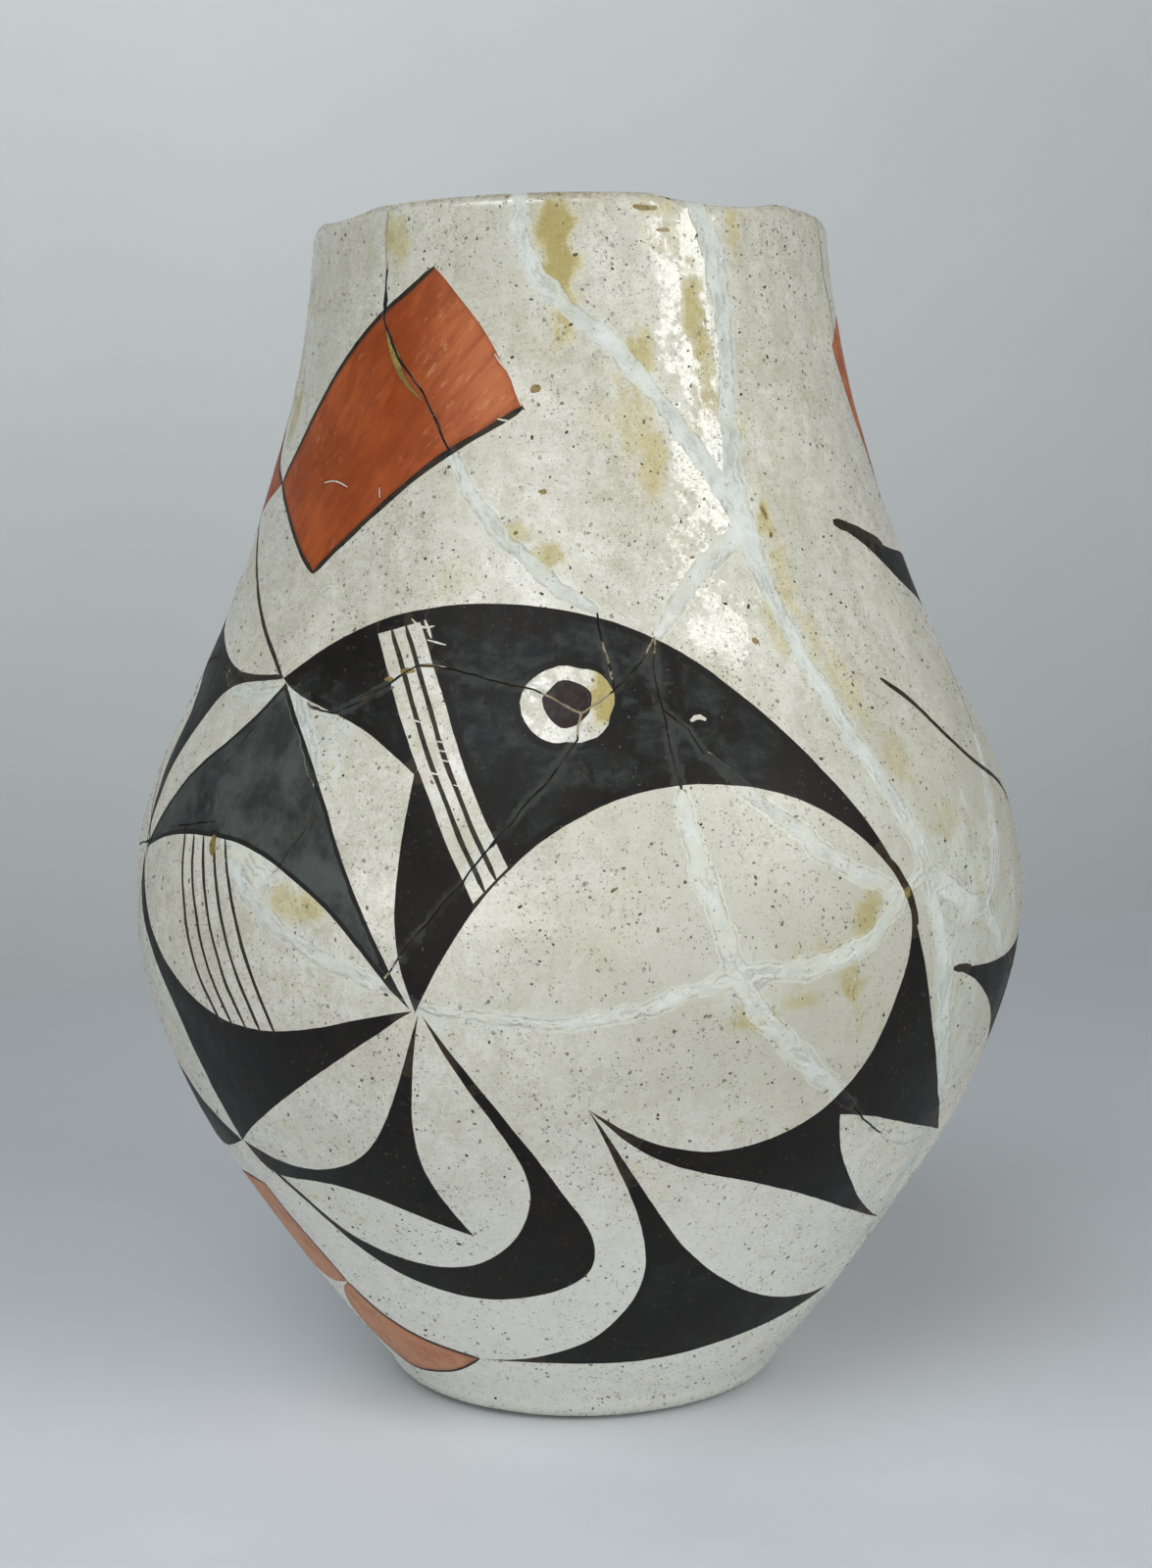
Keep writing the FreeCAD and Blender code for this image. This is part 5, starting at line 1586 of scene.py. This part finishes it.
def finish_walls(pieces):
    """Runs the tree on every piece and keeps what it makes as the piece's own mesh."""
    tree = hand_built_wall()
    chosen = HAND_MADE | {"Grain": MATERIALS["temper_grain"]}
    sockets = {item.name: item.identifier for item in tree.interface.items_tree if item.in_out == "INPUT"}
    for number, piece in enumerate(pieces):
        modifier = piece.modifiers.new("hand-built wall", "NODES")
        modifier.node_group = tree
        for name, value in (chosen | {"Seed": number}).items():
            modifier[sockets[name]] = value
    graph = bpy.context.evaluated_depsgraph_get()
    baked = [bpy.data.meshes.new_from_object(piece.evaluated_get(graph), preserve_all_data_layers=True,
                                             depsgraph=graph) for piece in pieces]
    for piece, mesh in zip(pieces, baked):
        piece.modifiers.clear()
        smooth, piece.data = piece.data, mesh
        bpy.data.meshes.remove(smooth)
        mesh.name = piece.name


# ---------------------------------------------------------------- table, light and camera, in metres

TABLE_BACK = [(-0.245, 0.464), (0.289, 0.660)]  # two points of the table's far edge
TABLE_DEEP = 2.2  # from its far edge to behind the camera
TABLE_SIDES = (-2.4, 2.6)
EDGE_ROUND = 0.012
FLOOR_HEIGHT = -0.72
WALL_BEHIND = 2.0
WALL_HEIGHTS = (FLOOR_HEIGHT, 0.4, 3.2)
WALL_TURN = math.pi * 0.62  # how far the wall runs round to either side
WALL_STEPS = 32


def flat_material(name, tint, rough, grain):
    material, n, s = finish_material(name)
    shade = n.patches((grain, 4, 0.6), 0.3, 0.7)
    darker = tuple(c * 0.965 for c in tint[:3]) + (1.0,)
    surface_of(n, s, n.mix(shade, darker, tint), n.between(shade, 0.0, 1.0, rough, rough + 0.06))
    return material


def mesh_object(name, points, faces, material):
    mesh = bpy.data.meshes.new(name)
    mesh.from_pydata(points, [], faces)
    mesh.materials.append(material)
    mesh.shade_smooth()
    return linked(name, mesh)


def make_table():
    """A pale table whose far edge is rounded over, a floor below it and a curved wall behind."""
    (ax, ay), (bx, by) = TABLE_BACK
    length = math.hypot(bx - ax, by - ay)
    along = Vector(((bx - ax) / length, (by - ay) / length, 0))
    back = Vector((-along.y, along.x, 0))
    start = Vector((ax, ay, 0))
    section = [(-TABLE_DEEP, 0.0), (-0.5, 0.0), (-EDGE_ROUND, 0.0)]
    section += [(-EDGE_ROUND + EDGE_ROUND * math.sin(a), -EDGE_ROUND + EDGE_ROUND * math.cos(a))
                for a in np.linspace(0.1, math.pi / 2, 8)]
    section += [(0.0, -0.06), (0.0, FLOOR_HEIGHT)]
    points = [tuple(start + along * side + back * deep + Vector((0, 0, height)))
              for side in TABLE_SIDES for deep, height in section]
    count = len(section)
    faces = [(i, i + 1, i + 1 + count, i + count)[::-1] for i in range(count - 1)]
    table = mesh_object("table", points, faces, flat_material("table top", colour(206, 210, 214), 0.5, 60))
    table.data.set_sharp_from_angle(angle=math.radians(50))
    points = [(WALL_BEHIND * math.sin(angle), WALL_BEHIND * math.cos(angle), z)
              for angle in np.linspace(-WALL_TURN, WALL_TURN, WALL_STEPS + 1) for z in WALL_HEIGHTS]
    faces = [(i + j, i + 3 + j, i + 4 + j, i + 1 + j) for i in range(0, 3 * WALL_STEPS, 3) for j in range(2)]
    wall = mesh_object("studio_wall", points, faces,
                       flat_material("studio wall", colour(206, 210, 211), 0.9, 400))
    points = [(x, y, FLOOR_HEIGHT) for x, y in ((-4, -4), (4, -4), (4, 4), (-4, 4))]
    floor = mesh_object("studio_floor", points, [(0, 1, 2, 3)],
                        flat_material("studio floor", colour(190, 194, 197), 0.9, 300))
    return table, wall, floor


# Soft lights: (name, place, target, (width, height), power, tint, spread in degrees).
LIGHTS = [
    ("window", (0.97, -0.82, 0.73), (0, 0, 0.14), (0.66, 0.8), 9.3, (1.0, 0.99, 0.97), 180),
    ("over_table", (-0.42, -0.75, 1.0), (-0.17, -0.24, 0.0), (1.2, 0.7), 2.1, (0.93, 0.96, 1.0), 62),
    ("front_panel", (-0.55, -1.6, 0.3), (0, 0, 0.09), (3.0, 0.55), 11.4, (1.0, 0.99, 0.97), 180),
    ("wall_wash", (-0.7, 0.3, 2.3), (-0.62, 2.0, 0.6), (2.4, 0.5), 14, (0.97, 0.99, 1.0), 84),
]


def make_light():
    world = bpy.data.worlds.new("studio air")
    world.use_nodes = True
    shade = world.node_tree.nodes["Background"]
    shade.inputs["Color"].default_value = (0.90, 0.96, 1.0, 1)
    shade.inputs["Strength"].default_value = 0.12
    bpy.context.scene.world = world
    for name, place, target, size, power, tint, spread in LIGHTS:
        data = bpy.data.lights.new(name, "AREA")
        data.shape = "RECTANGLE"
        data.size, data.size_y = size
        data.energy = power
        data.color = tint
        data.spread = math.radians(spread)
        lamp = linked(name, data)
        lamp.location = place
        lamp.rotation_mode = "QUATERNION"
        lamp.rotation_quaternion = (Vector(target) - Vector(place)).to_track_quat("-Z", "Y")
    bpy.context.scene.view_settings.view_transform = "Standard"


# The photographer's place, from the jar's own proportions in the picture. Angles are in degrees.
CAMERA_PLACE = (0.0, -0.51796, 0.17966)
PITCH, ROLL, YAW = 5.514, -0.765, -0.035
LENS_MM = 54.11
SENSOR_MM = (26.44, 36.0)


def make_camera():
    pitch, roll, yaw = (math.radians(angle) for angle in (PITCH, ROLL, YAW))
    look = Vector((math.sin(yaw) * math.cos(pitch), math.cos(yaw) * math.cos(pitch), -math.sin(pitch)))
    level = Vector((math.cos(yaw), -math.sin(yaw), 0))
    up = level.cross(look)
    right = level * math.cos(roll) + up * math.sin(roll)
    up = -level * math.sin(roll) + up * math.cos(roll)
    data = bpy.data.cameras.new("camera")
    data.sensor_fit = "VERTICAL"
    data.sensor_width, data.sensor_height = SENSOR_MM
    data.lens = LENS_MM
    data.clip_start, data.clip_end = 0.01, 30
    camera = linked("camera", data)
    camera.matrix_world = Matrix((right, up, -look)).transposed().to_4x4()
    camera.location = CAMERA_PLACE
    bpy.context.scene.camera = camera


# ---------------------------------------------------------------- the jar

MATERIALS = make_materials()


def make_jar():
    everything, facts, pieces = make_pieces()
    made = [piece_object(name, everything, facts, faces, finishes) for name, faces, finishes in pieces]
    finish_walls(made)
    for piece, (name, *_) in zip(made, pieces):
        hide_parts(name)
        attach(piece, "root")


make_jar()
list(make_table())
make_light()
make_camera()
